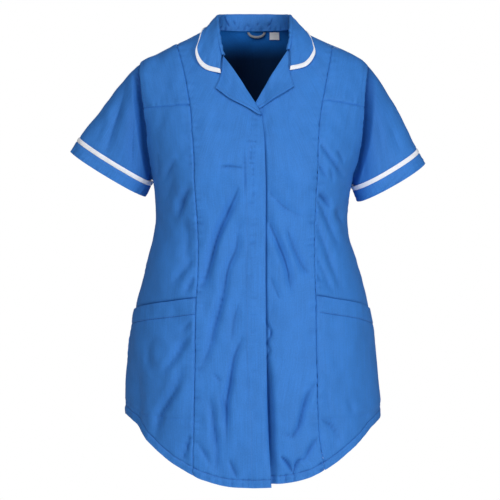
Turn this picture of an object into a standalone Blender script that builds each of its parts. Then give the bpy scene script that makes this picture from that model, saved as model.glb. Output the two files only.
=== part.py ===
"""Maternity tunic with a notched collar, princess seams, short sleeves and patch pockets.

Metres, +Z up. The front faces -Y and the wearer's left is at +X. The origin is between the two
points where the shoulder seams meet the neck. The cloth is built as thin walls round the hollow
that a wearer fills: every wall has an outer face on the garment's form and an inner face one
cloth thickness inside it. Horizontal sections of the form are rounded boxes (superellipses).
"""
import math
from collections import namedtuple
from functools import partial

import bpy
import numpy as np

CLOTH = 0.0015                # wall of the blue cloth
TRIM_CLOTH = 0.0019           # wall of the white binding
SEAM_GAP = 0.0003             # left between two pieces at their seam
BINDING_GAP = 0.0005          # and between the collar and its binding, which is thicker
LAP_STEP = 0.0024             # how far the under front lies inside the over front
LAP_COVER = 0.004             # the under front is fully inside this far past the lap's edge
LAP_RISE = 0.014              # and comes out again over this width
UNDER_EDGE = -0.012           # hidden edge of the under front
UNDER_SHARES = (0.32, 0.44)   # shares of the under front's columns up to the cover and the rise
PATCH_GAP = 0.0003            # between a panel and the pocket on it
LAPEL_GAP = 0.0008            # between a panel and the lapel on it
LOOP_GAP = 0.0008             # between the back and the hanging loop inside it
LABEL_GAP = 0.0016            # and the label, where the back's faces are coarser
SECTION_POWER = 2.4           # 2 is an ellipse, more is squarer

RIGHT = -1                    # the wearer's right is at -X
LEFT = 1
FRONT = -1                    # the front is at -Y
BACK = 1

Section = namedtuple("Section", "height right left front back")
BODY = (
    Section(-0.780, 0.2170, 0.2170, 0.186, 0.150),
    Section(-0.650, 0.2160, 0.2160, 0.184, 0.146),
    Section(-0.595, 0.2134, 0.2134, 0.181, 0.141),
    Section(-0.527, 0.2074, 0.2074, 0.175, 0.133),
    Section(-0.459, 0.1955, 0.1955, 0.168, 0.125),
    Section(-0.391, 0.1777, 0.1777, 0.157, 0.117),
    Section(-0.357, 0.1666, 0.1666, 0.151, 0.114),
    Section(-0.323, 0.1624, 0.1624, 0.147, 0.114),
    Section(-0.289, 0.1640, 0.1640, 0.146, 0.118),
    Section(-0.254, 0.1672, 0.1690, 0.146, 0.123),
    Section(-0.220, 0.1780, 0.1840, 0.142, 0.127),
    Section(-0.190, 0.1860, 0.1930, 0.135, 0.128),
    Section(-0.160, 0.1930, 0.2005, 0.124, 0.127),
    Section(-0.130, 0.1990, 0.2060, 0.112, 0.124),
    Section(-0.100, 0.2045, 0.2090, 0.098, 0.117),
    Section(-0.080, 0.2035, 0.2065, 0.089, 0.110),
    Section(-0.065, 0.1975, 0.1995, 0.082, 0.104),
    Section(-0.054, 0.1900, 0.1900, 0.077, 0.099),
    Section(-0.034, 0.1547, 0.1547, 0.068, 0.089),
    Section(-0.017, 0.1165, 0.1150, 0.060, 0.080),
    Section(0.005, 0.0680, 0.0680, 0.048, 0.072),
)
NECK_HEIGHT = 0.005           # the back neck seam is level
NECK_HALF = 0.068
SHOULDER_END = -0.078         # the shoulder's ridge ends above this height
BACK_NECK_DROP = 0.027        # closer rows over this height at the top of the back

Armhole = namedtuple("Armhole", "top bottom")
ARMHOLES = {RIGHT: Armhole(-0.0545, -0.254), LEFT: Armhole(-0.061, -0.262)}
ARMHOLE_FRONT = 0.056         # how far the armhole reaches forward of the shoulder seam
ARMHOLE_BACK = 0.060
ARMHOLE_POWER = 2.4

SeamPlace = namedtuple("SeamPlace", "height right left")
PRINCESS = (
    SeamPlace(-0.780, 0.0970, 0.1220),
    SeamPlace(-0.725, 0.0966, 0.1172),
    SeamPlace(-0.680, 0.0960, 0.1114),
    SeamPlace(-0.590, 0.0949, 0.1063),
    SeamPlace(-0.500, 0.0928, 0.1061),
    SeamPlace(-0.408, 0.0906, 0.1033),
    SeamPlace(-0.325, 0.0892, 0.1043),
    SeamPlace(-0.272, 0.0911, 0.1035),
    SeamPlace(-0.217, 0.0940, 0.1062),
    SeamPlace(-0.176, 0.0985, 0.1097),
    SeamPlace(-0.139, 0.1020, 0.1150),
    SeamPlace(-0.118, 0.1057, 0.1188),
    SeamPlace(-0.087, 0.1115, 0.1250),
    SeamPlace(-0.056, 0.1190, 0.1310),
    SeamPlace(-0.030, 0.1270, 0.1360),
)

EdgePlace = namedtuple("EdgePlace", "height across")
LAP_EDGE = (                  # open edge of the over front, on the wearer's left of the centre
    EdgePlace(-0.780, 0.0325),
    EdgePlace(-0.679, 0.0274),
    EdgePlace(-0.608, 0.0248),
    EdgePlace(-0.537, 0.0234),
    EdgePlace(-0.389, 0.0221),
    EdgePlace(-0.292, 0.0226),
    EdgePlace(-0.190, 0.0196),
    EdgePlace(-0.156, 0.0164),
)

OutlinePlace = namedtuple("OutlinePlace", "across height")
HEM_MIDDLE = 0.003            # the hem's lowest point is this far to the wearer's left
HEM = (                       # shirt-tail hem, measured both ways from its lowest point
    OutlinePlace(0.000, -0.7605),
    OutlinePlace(0.036, -0.7590),
    OutlinePlace(0.083, -0.7477),
    OutlinePlace(0.115, -0.7325),
    OutlinePlace(0.140, -0.7170),
    OutlinePlace(0.158, -0.7020),
    OutlinePlace(0.175, -0.6870),
    OutlinePlace(0.190, -0.6720),
    OutlinePlace(0.206, -0.6580),
    OutlinePlace(0.216, -0.6500),
)
ROLL_LINES = {                # top of each centre front: fold of the lapel, then the neck seam
    RIGHT: (
        OutlinePlace(0.0164, -0.1550),
        OutlinePlace(0.0049, -0.1328),
        OutlinePlace(-0.0217, -0.0918),
        OutlinePlace(-0.0485, -0.0503),
        OutlinePlace(-0.0600, -0.0230),
        OutlinePlace(-0.0680, 0.0050),
    ),
    LEFT: (
        OutlinePlace(-0.0120, -0.1580),
        OutlinePlace(0.0050, -0.1330),
        OutlinePlace(0.0281, -0.0918),
        OutlinePlace(0.0515, -0.0560),
        OutlinePlace(0.0600, -0.0408),
        OutlinePlace(0.0655, -0.0200),
        OutlinePlace(0.0680, 0.0050),
    ),
}
GORGE = {RIGHT: 0.0485, LEFT: 0.0600}      # where the collar's front end meets the roll line

YOKE_HEIGHT = {RIGHT: (-0.1330, -0.1366), LEFT: (-0.1245, -0.1340)}
POCKET_BOTTOM = -0.650                     # at the princess seams
POCKET_TOP = {RIGHT: -0.4533, LEFT: -0.4493}
SIDE_LEVELS = (-0.639, -0.4755)            # bottom and top where they reach the side seams

LapelPlace = namedtuple("LapelPlace", "along roll_across roll_height edge_across edge_height")
LAPELS = {
    RIGHT: (
        LapelPlace(0.00, -0.0480, -0.0522, -0.0504, -0.0812),
        LapelPlace(0.22, -0.0330, -0.0740, -0.0598, -0.1065),
        LapelPlace(0.52, -0.0115, -0.1070, -0.0340, -0.1267),
        LapelPlace(0.80, 0.0065, -0.1355, -0.0035, -0.1428),
        LapelPlace(1.00, 0.0150, -0.1520, 0.0118, -0.1535),
    ),
    LEFT: (
        LapelPlace(0.00, 0.0590, -0.0430, 0.0612, -0.0757),
        LapelPlace(0.24, 0.0460, -0.0645, 0.0683, -0.1050),
        LapelPlace(0.60, 0.0245, -0.0990, 0.0400, -0.1232),
        LapelPlace(1.00, 0.0110, -0.1230, 0.0165, -0.1370),
    ),
}

Rib = namedtuple("Rib", "along seam_x seam_y seam_z roll_x roll_y roll_z edge_x edge_y edge_z")
COLLAR_RIBS = {               # from the gorge to the middle of the back, each side
    RIGHT: (
        Rib(0.00, 0.0485, -0.0745, -0.0500, 0.0485, -0.0790, -0.0480, 0.0521, -0.0905, -0.0800),
        Rib(0.16, 0.0552, -0.0660, -0.0335, 0.0524, -0.0690, -0.0270, 0.0757, -0.0850, -0.0738),
        Rib(0.30, 0.0625, -0.0480, -0.0110, 0.0558, -0.0475, 0.0010, 0.0905, -0.0755, -0.0590),
        Rib(0.46, 0.0680, -0.0050, 0.0060, 0.0590, -0.0100, 0.0225, 0.0925, -0.0530, -0.0250),
        Rib(0.54, 0.0668, 0.0150, 0.0060, 0.0580, 0.0110, 0.0262, 0.0845, -0.0190, -0.0045),
        Rib(0.62, 0.0640, 0.0330, 0.0060, 0.0580, 0.0300, 0.0285, 0.0810, 0.0100, 0.0010),
        Rib(0.80, 0.0430, 0.0600, 0.0060, 0.0445, 0.0620, 0.0325, 0.0620, 0.0740, -0.0010),
        Rib(1.00, 0.0000, 0.0720, 0.0060, 0.0000, 0.0765, 0.0342, 0.0000, 0.0860, -0.0090),
    ),
    LEFT: (
        Rib(0.00, 0.0600, -0.0680, -0.0405, 0.0605, -0.0725, -0.0385, 0.0630, -0.0880, -0.0745),
        Rib(0.16, 0.0648, -0.0590, -0.0250, 0.0640, -0.0620, -0.0180, 0.0875, -0.0790, -0.0700),
        Rib(0.30, 0.0668, -0.0400, -0.0080, 0.0648, -0.0400, 0.0050, 0.1025, -0.0700, -0.0530),
        Rib(0.46, 0.0680, -0.0030, 0.0060, 0.0652, -0.0080, 0.0235, 0.1010, -0.0500, -0.0260),
        Rib(0.54, 0.0668, 0.0150, 0.0060, 0.0636, 0.0110, 0.0262, 0.0930, -0.0190, -0.0080),
        Rib(0.62, 0.0640, 0.0330, 0.0060, 0.0620, 0.0310, 0.0285, 0.0865, 0.0100, -0.0010),
        Rib(0.80, 0.0430, 0.0600, 0.0060, 0.0465, 0.0620, 0.0325, 0.0640, 0.0740, -0.0010),
        Rib(1.00, 0.0000, 0.0720, 0.0060, 0.0000, 0.0765, 0.0342, 0.0000, 0.0860, -0.0090),
    ),
}
COLLAR_FOLD = 0.0024          # radius of the fold at the top of the collar
COLLAR_LIFT = 0.0012          # the stand starts this far above its seam
COLLAR_LIE = 0.0032           # the middle of the fall's cloth lies this far off the body
COLLAR_BULGE = 0.0022         # how far the fall rounds out between fold and edge
STAND_LEAN = 0.0014           # the stand's middle leans in this far
BINDING = 0.0075              # width of the white binding on the collar

SleeveHem = namedtuple("SleeveHem", "outer_x outer_z inner_x inner_z")
SLEEVE_HEMS = {
    RIGHT: SleeveHem(0.3094, -0.2057, 0.1819, -0.2822),
    LEFT: SleeveHem(0.2941, -0.2261, 0.1785, -0.2907),
}
SLEEVE_DEPTH = 0.046          # half the sleeve's hem from front to back
SLEEVE_LEAN = {RIGHT: 0.0065, LEFT: 0.0090}     # the front of the hem hangs this much lower
SLEEVE_SPRING = {RIGHT: 0.20, LEFT: 0.34}       # how far it leaves the shoulder outward, as a slope
SLEEVE_SPREAD = 0.10          # and forward and backward
CUFF_DEPTH = 0.021
TRIM_DEPTH = 0.0075

Mound = namedtuple("Mound", "across height half_width half_height rise")
BUST = (Mound(-0.088, -0.238, 0.058, 0.070, 0.010), Mound(0.098, -0.238, 0.058, 0.070, 0.010))

Fold = namedtuple("Fold", "x0 z0 x1 z1 bend half_width depth")
FRONT_FOLDS = (
    Fold(-0.012, -0.262, -0.080, -0.440, 0.006, 0.013, 0.0050),
    Fold(-0.012, -0.330, -0.080, -0.570, 0.006, 0.014, 0.0040),
    Fold(-0.012, -0.520, -0.038, -0.680, 0.006, 0.014, 0.0045),
    Fold(0.036, -0.320, 0.074, -0.445, -0.004, 0.013, 0.0050),
    Fold(0.066, -0.335, 0.104, -0.410, -0.003, 0.012, 0.0035),
    Fold(0.108, -0.590, 0.060, -0.665, 0.005, 0.014, 0.0040),
    Fold(-0.095, -0.270, -0.120, -0.325, 0.004, 0.013, 0.0045),
    Fold(-0.118, -0.560, -0.154, -0.680, 0.005, 0.014, 0.0050),
    Fold(-0.095, -0.510, -0.142, -0.575, 0.004, 0.013, 0.0045),
    Fold(0.112, -0.275, 0.152, -0.360, -0.004, 0.013, 0.0045),
    Fold(0.112, -0.320, 0.165, -0.440, -0.005, 0.014, 0.0040),
)
BACK_FOLDS = (
    Fold(-0.060, -0.300, -0.095, -0.480, 0.006, 0.018, 0.0050),
    Fold(0.015, -0.330, 0.030, -0.560, -0.006, 0.020, 0.0045),
    Fold(0.070, -0.290, 0.110, -0.470, -0.006, 0.018, 0.0050),
    Fold(-0.030, -0.520, -0.050, -0.700, 0.005, 0.020, 0.0045),
    Fold(0.095, -0.540, 0.080, -0.690, 0.005, 0.020, 0.0045),
)

# The hanging loop and the plain label inside the back neck.
TAPE = 0.0010                 # wall of both
LOOP_MIDDLE = 0.008
LOOP_HALF = 0.016
LOOP_DROP = 0.010
LOOP_WIDTH = 0.004
LOOP_TOP = 0.003
LABEL_ACROSS = (0.031, 0.048)
LABEL_HEIGHTS = (0.003, -0.009)

# Rows of each wall between its levels, and columns between its corners.
ROWS_HEM = 3
ROWS_POCKET = 8
ROWS_WAIST = 9
ROWS_CHEST = 5
ROWS_YOKE = 5
ROWS_BACK_CHEST = 8
ROWS_BACK_NECK = 3
COLUMNS_LAPEL = 5
COLUMNS_NECK = 2
COLUMNS_SHOULDER = 3
COLUMNS_SIDE = 7
COLUMNS_BACK_NECK = 6
FRONT_ROWS = (ROWS_HEM, ROWS_POCKET, ROWS_WAIST, ROWS_CHEST, ROWS_YOKE)
BACK_ROWS = (ROWS_HEM, ROWS_POCKET, ROWS_WAIST, ROWS_BACK_CHEST, ROWS_BACK_NECK)
UNDERARM_ROW = ROWS_HEM + ROWS_POCKET + ROWS_WAIST
YOKE_ROW = UNDERARM_ROW + ROWS_CHEST
OVER_COLUMNS = (COLUMNS_LAPEL, COLUMNS_NECK, COLUMNS_SHOULDER)
UNDER_COLUMNS = (3, 2, 2, 1, COLUMNS_SHOULDER)
SLEEVE_ROWS = 7
CUFF_ROWS = 2
COLLAR_COLUMNS = 17           # on each side
COLLAR_FOLD_ROWS = 5
COLLAR_FALL = (0.20, 0.42, 0.64)    # shares of the fall's width where it has rows
LAPEL_ROWS = 9
LAPEL_COLUMNS = 5
CURVE_STEPS = 160             # fine steps that a column is measured along
SLEEVE_STEPS = 60             # and a sleeve
SEEK_HEM = -0.72              # height where the search for a column's lower end starts
SEEK_TOP = -0.06              # and for its upper end
CORNER_SLACK = 0.0005         # a column this near the neck's corner belongs to the shoulder
SHARP_ANGLE = 40              # degrees between faces that keep a sharp edge


def hermite(t, start, start_slope, end, end_slope):
    """Cubic curve from a start to an end with the slopes there, t from 0 to 1."""
    return (
        (2 * t**3 - 3 * t**2 + 1) * start
        + (t**3 - 2 * t**2 + t) * start_slope
        + (3 * t**2 - 2 * t**3) * end
        + (t**3 - t**2) * end_slope
    )


def smooth_curve(places, values, at):
    """Follow the values smoothly between their places, without overshooting them."""
    places = np.asarray(places, float)
    values = np.asarray(values, float)
    at = np.clip(np.asarray(at, float), places[0], places[-1])
    step = np.diff(places).reshape(-1, *([1] * (values.ndim - 1)))
    slope = np.diff(values, axis=0) / step
    before, after = slope[:-1], slope[1:]
    same_way = before * after > 0
    total = np.where(same_way, before + after, 1.0)
    inner = np.where(same_way, 2 * before * after / total, 0.0)
    tangent = np.concatenate([slope[:1], inner, slope[-1:]])
    low = np.clip(np.searchsorted(places, at) - 1, 0, len(places) - 2)
    width = places[low + 1] - places[low]
    t = (at - places[low]) / width
    if values.ndim > 1:
        t, width = t[..., None], width[..., None]
    return hermite(t, values[low], width * tangent[low], values[low + 1], width * tangent[low + 1])


def column_of(table, name):
    """One named column of a table, as a list."""
    return [getattr(row, name) for row in table]


def section_at(z, side, face):
    """Half width and depth of the body's section at a height."""
    heights = column_of(BODY, "height")
    width = smooth_curve(heights, column_of(BODY, "right" if side == RIGHT else "left"), z)
    depth = smooth_curve(heights, column_of(BODY, "front" if face == FRONT else "back"), z)
    return width, depth


def across_from_turn(turn, z, side, face):
    """Distance from the centre line after turning from the centre (0) towards the side (pi/2)."""
    width, _ = section_at(z, side, face)
    return width * np.sin(turn) ** (2 / SECTION_POWER)


def turn_from_across(x, z, side, face):
    """The turn at which the section lies a distance x from the centre line."""
    width, _ = section_at(z, side, face)
    share = np.clip(np.abs(x) / width, 0, 1)
    return np.arcsin(share ** (SECTION_POWER / 2))


def body_point(x, z, side, face):
    """Point of the plain body, x from the centre line at height z."""
    width, depth = section_at(z, side, face)
    share = np.clip(np.abs(x) / width, 0, 1)
    y = depth * (1 - share**SECTION_POWER) ** (1 / SECTION_POWER)
    return np.stack([x, face * y, z + 0 * x], axis=-1)


def body_normal(points, side, face):
    """Outward direction of the plain body, from the slopes of its implicit section."""
    x, y, z = points[..., 0], points[..., 1], points[..., 2]
    nudge = 0.004
    width, depth = section_at(z, side, face)
    width_up, depth_up = section_at(z + nudge, side, face)
    width_down, depth_down = section_at(z - nudge, side, face)
    width_slope = (width_up - width_down) / (2 * nudge)
    depth_slope = (depth_up - depth_down) / (2 * nudge)
    across = np.abs(x) / width
    along = np.abs(y) / depth
    power = SECTION_POWER
    direction = np.stack(
        [
            np.sign(x) * across ** (power - 1) / width,
            face * along ** (power - 1) / depth,
            -(across**power) * width_slope / width - along**power * depth_slope / depth,
        ],
        axis=-1,
    )
    return direction / np.linalg.norm(direction, axis=-1, keepdims=True)


def clear_of_body(points, lift):
    """Move points out along the plain body's normals until they are at least lift outside it."""
    moved = points.copy()
    for side in (RIGHT, LEFT):
        for face in (FRONT, BACK):
            chosen = ((points[..., 0] >= 0) == (side == LEFT)) & ((points[..., 1] >= 0) == (face == BACK))
            part = points[chosen]
            width, depth = section_at(part[:, 2], side, face)
            across = np.abs(part[:, 0]) / width
            along = np.abs(part[:, 1]) / depth
            reach = (across**SECTION_POWER + along**SECTION_POWER) ** (1 / SECTION_POWER)
            distance = (reach - 1) * np.hypot(part[:, 0], part[:, 1]) / reach
            normals = body_normal(part, side, face)
            flat = np.hypot(normals[:, 0], normals[:, 1])
            short = np.maximum(lift - distance * flat, 0)
            moved[chosen] = part + normals * short[:, None]
    return moved


def fold_relief(folds, x, z):
    """How far the folds sink the cloth at a place, seen from the front."""
    relief = np.zeros(np.broadcast(x, z).shape)
    for fold in folds:
        run_x, run_z = fold.x1 - fold.x0, fold.z1 - fold.z0
        length = math.hypot(run_x, run_z)
        along = ((x - fold.x0) * run_x + (z - fold.z0) * run_z) / length**2
        aside = ((x - fold.x0) * run_z - (z - fold.z0) * run_x) / length
        inside = np.clip(along, 0, 1)
        aside = aside - fold.bend * np.sin(math.pi * inside)
        fade = np.where((along > 0) & (along < 1), np.sin(math.pi * inside) ** 0.5, 0)
        spread = aside / fold.half_width
        relief -= fold.depth * fade * (1 - 0.9 * spread**2) * np.exp(-(spread**2))
    return relief


def relief_at(x, z, face):
    """Bust mounds and main folds, outward from the plain body."""
    if face == BACK:
        return fold_relief(BACK_FOLDS, x, z)
    relief = fold_relief(FRONT_FOLDS, x, z)
    for mound in BUST:
        reach = ((x - mound.across) / mound.half_width) ** 2 + ((z - mound.height) / mound.half_height) ** 2
        relief += mound.rise * np.exp(-reach)
    return relief


def lap_edge(z):
    """Distance of the over front's open edge from the centre line."""
    return smooth_curve(column_of(LAP_EDGE, "height"), column_of(LAP_EDGE, "across"), z)


def lap_relief(x, z):
    """The under front passes inside the over front and comes out beside its edge."""
    past = (x - lap_edge(z) - LAP_COVER) / LAP_RISE
    past = np.clip(past, 0, 1)
    return -LAP_STEP * (1 - past * past * (3 - 2 * past))


def princess_seam(z, side):
    """Distance of the princess seam from the centre line."""
    name = "right" if side == RIGHT else "left"
    return smooth_curve(column_of(PRINCESS, "height"), column_of(PRINCESS, name), z)


def hem_height(x):
    """Height of the hem at a distance from the centre line."""
    return smooth_curve(column_of(HEM, "across"), column_of(HEM, "height"), np.abs(x - HEM_MIDDLE))


def roll_height(x, side):
    """Height of the roll line and neck seam at a place across one front."""
    line = ROLL_LINES[side]
    order = sorted(line, key=lambda place: place.across)
    return smooth_curve(column_of(order, "across"), column_of(order, "height"), x)


def shoulder_height(x, side):
    """Height of the shoulder seam, where a section is as wide as the distance x."""
    heights = np.linspace(SHOULDER_END, NECK_HEIGHT, CURVE_STEPS)
    widths, _ = section_at(heights, side, FRONT)
    return np.interp(np.abs(x), widths[::-1], heights[::-1])


def armhole_turn(z, side, face):
    """Turn at which a section reaches the armhole, or the side seam below it."""
    hole = ARMHOLES[side]
    _, depth = section_at(z, side, face)
    reach = ARMHOLE_FRONT if face == FRONT else ARMHOLE_BACK
    middle = (hole.top + hole.bottom) / 2
    half = (hole.top - hole.bottom) / 2
    off = np.clip(np.abs(z - middle) / half, 0, 1)
    y = reach * (1 - off**ARMHOLE_POWER) ** (1 / ARMHOLE_POWER)
    y = np.where(off > 1 - 1e-9, 0, y)
    return np.arccos(np.clip(y / depth, 0, 1) ** (SECTION_POWER / 2))


def side_column(share, side, face, z, inner):
    """Distance across of a column between an inner line and the armhole or side seam."""
    top = ARMHOLES[side].top
    low = np.minimum(z, top)
    start = turn_from_across(inner(low), low, side, face)
    turn = start + share * (armhole_turn(low, side, face) - start)
    x = across_from_turn(turn, low, side, face)
    drift = inner(z) - inner(low)
    return x + drift * (1 - share)


def heights_between(bottom, chest, top):
    """Heights from a column's bottom to its top, close together at the underarm and the top."""
    low = np.linspace(bottom, chest, CURVE_STEPS)[:-1]
    high = chest + (top - chest) * (1 - np.cos(np.linspace(0, math.pi, CURVE_STEPS))) / 2
    return np.concatenate([low, high])


def meet(outline, across, start):
    """Height at which a column meets an outline."""
    z = start
    for _ in range(30):
        z = 0.5 * z + 0.5 * float(outline(across(np.array([z]))[0]))
    return z


def arc_length(points):
    """Length along a path up to each of its points."""
    return np.concatenate([[0], np.cumsum(np.linalg.norm(np.diff(points, axis=0), axis=1))])


def along_path(points, length, marks):
    """Points of a path at the given lengths along it."""
    return np.stack([np.interp(marks, length, points[:, axis]) for axis in range(3)], axis=-1)


def evenly(knots, counts):
    """Values in even steps between the knots, each knot kept."""
    values = [np.array(knots[:1])]
    for low, high, count in zip(knots[:-1], knots[1:], counts):
        values.append(np.linspace(low, high, count + 1)[1:])
    return np.concatenate(values)


def rows_by_level(points, levels, counts):
    """Points along a column, evenly spaced between its levels."""
    length = arc_length(points)
    marks = np.interp(levels, points[:, 2], length)
    return along_path(points, length, evenly(marks, counts))


def column_grid(columns):
    """Columns side by side, as rows of points."""
    return np.stack(columns, axis=1)


def dressed(points, side, face, extra=None):
    """Points and normals with the folds and mounds added."""
    normals = body_normal(points, side, face)
    relief = relief_at(points[..., 0], points[..., 2], face)
    if extra is not None:
        relief = relief + extra(points[..., 0], points[..., 2])
    return points + normals * relief[..., None], normals


def inset(points, normals, gap, closed=False):
    """Draw a grid's outer edges in by half a seam gap, square to each edge."""
    moved = points.copy()

    def draw_in(edge, inward, edge_normals):
        tangent = np.gradient(edge, axis=0)
        square = np.cross(edge_normals, tangent)
        square /= np.linalg.norm(square, axis=-1, keepdims=True)
        way = np.sign(np.sum(square * (inward - edge), axis=-1, keepdims=True))
        return square * way * gap / 2

    moved[0] += draw_in(points[0], points[1], normals[0])
    moved[-1] += draw_in(points[-1], points[-2], normals[-1])
    if not closed:
        moved[:, 0] += draw_in(points[:, 0], points[:, 1], normals[:, 0])
        moved[:, -1] += draw_in(points[:, -1], points[:, -2], normals[:, -1])
    return moved


def grid_normals(points, closed=False):
    """Normals of a free grid, from the steps along its rows and columns."""
    down = np.gradient(points, axis=0)
    if closed:
        across = np.roll(points, -1, axis=1) - np.roll(points, 1, axis=1)
    else:
        across = np.gradient(points, axis=1)
    normals = np.cross(across, down)
    return normals / np.linalg.norm(normals, axis=-1, keepdims=True)


def add_wall(name, outer, inner, material, closed=False):
    """Closed solid between two grids of points."""
    rows, columns = outer.shape[:2]
    count = rows * columns
    corners = np.concatenate([outer.reshape(-1, 3), inner.reshape(-1, 3)])
    faces = []

    def quad(a, b, c, d):
        faces.append((a, b, c))
        faces.append((a, c, d))

    last = columns if closed else columns - 1
    for i in range(rows - 1):
        for j in range(last):
            a = i * columns + j
            b = i * columns + (j + 1) % columns
            c = b + columns
            d = a + columns
            quad(a, b, c, d)
            quad(a + count, d + count, c + count, b + count)
    for j in range(last):
        a, b = j, (j + 1) % columns
        quad(b, a, a + count, b + count)
        a, b = a + (rows - 1) * columns, b + (rows - 1) * columns
        quad(a, b, b + count, a + count)
    if not closed:
        for i in range(rows - 1):
            a, b = i * columns, (i + 1) * columns
            quad(a, b, b + count, a + count)
            a, b = a + columns - 1, b + columns - 1
            quad(b, a, a + count, b + count)
    mesh = bpy.data.meshes.new(name)
    mesh.from_pydata([tuple(corner) for corner in corners], [], faces)
    if signed_volume(corners, faces) < 0:
        mesh.flip_normals()
    mesh.materials.append(material)
    mesh.shade_smooth()
    mesh.set_sharp_from_angle(angle=math.radians(SHARP_ANGLE))
    thing = bpy.data.objects.new(name, mesh)
    bpy.context.scene.collection.objects.link(thing)
    return thing


def signed_volume(corners, faces):
    """Six times the volume that the faces close, positive when they face out."""
    a, b, c = (corners[[face[k] for face in faces]] for k in range(3))
    return float(np.sum(a * np.cross(b, c)))


def add_panel(name, points, normals, material, thickness=CLOTH, lift=0.0):
    """Wall of one panel, its edges drawn in for the seams."""
    points = inset(points, normals, SEAM_GAP)
    add_wall(name, points + normals * lift, points + normals * (lift - thickness), material)


def cloth_material(name, colour, roughness, sheen=0.0):
    """Principled material of one cloth."""
    material = bpy.data.materials.new(name)
    material.use_nodes = True
    shader = material.node_tree.nodes["Principled BSDF"]
    shader.inputs["Base Color"].default_value = (*colour, 1.0)
    shader.inputs["Roughness"].default_value = roughness
    shader.inputs["Metallic"].default_value = 0.0
    shader.inputs["Sheen Weight"].default_value = sheen
    return material


def side_name(side):
    """The wearer's side, as part of an object's name."""
    return "right" if side == RIGHT else "left"


def column_points(across, bottom, top, side, face, ridge=False):
    """Fine points of a column from its bottom to its top, which may be the shoulder's ridge."""
    z = heights_between(bottom, ARMHOLES[side].bottom, top)
    points = body_point(across(z), z, side, face)
    if ridge:
        points[-1, 1] = 0.0
    return points


def princess_column(side):
    """The princess seam from the hem to the shoulder seam, with its rows."""

    def across(z):
        return side * princess_seam(z, side)

    bottom = meet(hem_height, across, SEEK_HEM)
    top = meet(partial(shoulder_height, side=side), across, SEEK_TOP)
    points = column_points(across, bottom, top, side, FRONT, ridge=True)
    levels = [
        bottom,
        POCKET_BOTTOM,
        POCKET_TOP[side],
        ARMHOLES[side].bottom,
        YOKE_HEIGHT[side][0],
        top,
    ]
    return rows_by_level(points, levels, FRONT_ROWS)


def shares_along(points):
    """Share of a path's length at each of its points."""
    length = arc_length(points)
    return length / length[-1]


def centre_column(side, across, chest_shares):
    """One column of a centre front, from the hem to the roll line, neck or shoulder seam."""
    bottom = meet(hem_height, across, SEEK_HEM)
    at_top = float(across(np.array([SHOULDER_END]))[0])
    ridge = abs(at_top) > NECK_HALF - CORNER_SLACK
    outline = shoulder_height if ridge else roll_height
    top = meet(partial(outline, side=side), across, SEEK_TOP)
    fine = column_points(across, bottom, top, side, FRONT, ridge)
    underarm = ARMHOLES[side].bottom
    levels = [bottom, POCKET_BOTTOM, POCKET_TOP[side], underarm]
    body = rows_by_level(fine, levels, FRONT_ROWS[:3])
    length = arc_length(fine)
    chest_start = np.interp(underarm, fine[:, 2], length)
    marks = chest_start + chest_shares[1:] * (length[-1] - chest_start)
    return np.concatenate([body, along_path(fine, length, marks)])


def centre_columns(side, knots, counts, knot_across):
    """Columns of a centre front, from its open edge to the princess seam."""
    seam = princess_column(side)
    chest_shares = shares_along(seam[UNDERARM_ROW:])
    columns = []
    for place in evenly(knots, counts)[:-1]:
        columns.append(centre_column(side, partial(knot_across, place), chest_shares))
    columns.append(seam)
    return column_grid(columns)


def over_front():
    """Grid of the wearer's right front, which laps over."""

    def across(place, z):
        edge = lap_edge(z)
        return edge + place * (-princess_seam(z, RIGHT) - edge)

    def place_of(x):
        z = float(roll_height(x, RIGHT))
        edge = float(lap_edge(z))
        return (x - edge) / (-float(princess_seam(z, RIGHT)) - edge)

    knots = [0.0, place_of(-GORGE[RIGHT]), place_of(-NECK_HALF), 1.0]
    return centre_columns(RIGHT, knots, OVER_COLUMNS, across)


def under_front():
    """Grid of the wearer's left front, which lies under the lap."""

    def across(place, z):
        edge = lap_edge(z)
        inside = edge + LAP_COVER
        outside = inside + LAP_RISE
        seam = princess_seam(z, LEFT)
        first, second = UNDER_SHARES
        low = UNDER_EDGE + (inside - UNDER_EDGE) * place / first
        middle = inside + (outside - inside) * (place - first) / (second - first)
        high = outside + (seam - outside) * (place - second) / (1 - second)
        return np.where(place < first, low, np.where(place < second, middle, high))

    def place_of(x):
        z = float(roll_height(x, LEFT))
        outside = float(lap_edge(z)) + LAP_COVER + LAP_RISE
        share = (x - outside) / (float(princess_seam(z, LEFT)) - outside)
        return UNDER_SHARES[1] + share * (1 - UNDER_SHARES[1])

    knots = [0.0, *UNDER_SHARES, place_of(GORGE[LEFT]), place_of(NECK_HALF), 1.0]
    return centre_columns(LEFT, knots, UNDER_COLUMNS, across)


def side_bottom(side):
    """Height of the hem at a side seam."""
    return float(hem_height(side * HEM[-1].across))


def part_way(share, first, last):
    """Value a share of the way from the first to the last."""
    return first + share * (last - first)


def side_front(side):
    """Grid of one side front, from the princess seam to the side seam and armhole."""
    inner = partial(princess_seam, side=side)
    columns = [princess_column(side)]
    for share in evenly([0.0, 1.0], [COLUMNS_SIDE])[1:]:

        def across(z, share=share):
            return side * side_column(share, side, FRONT, z, inner)

        if share == 1:
            bottom, top = side_bottom(side), ARMHOLES[side].top
        else:
            bottom = meet(hem_height, across, SEEK_HEM)
            top = meet(partial(shoulder_height, side=side), across, SEEK_TOP)
        levels = [
            bottom,
            part_way(share, POCKET_BOTTOM, SIDE_LEVELS[0]),
            part_way(share, POCKET_TOP[side], SIDE_LEVELS[1]),
            ARMHOLES[side].bottom,
            part_way(share, *YOKE_HEIGHT[side]),
            top,
        ]
        points = column_points(across, bottom, top, side, FRONT, ridge=True)
        columns.append(rows_by_level(points, levels, FRONT_ROWS))
    return column_grid(columns)


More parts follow.
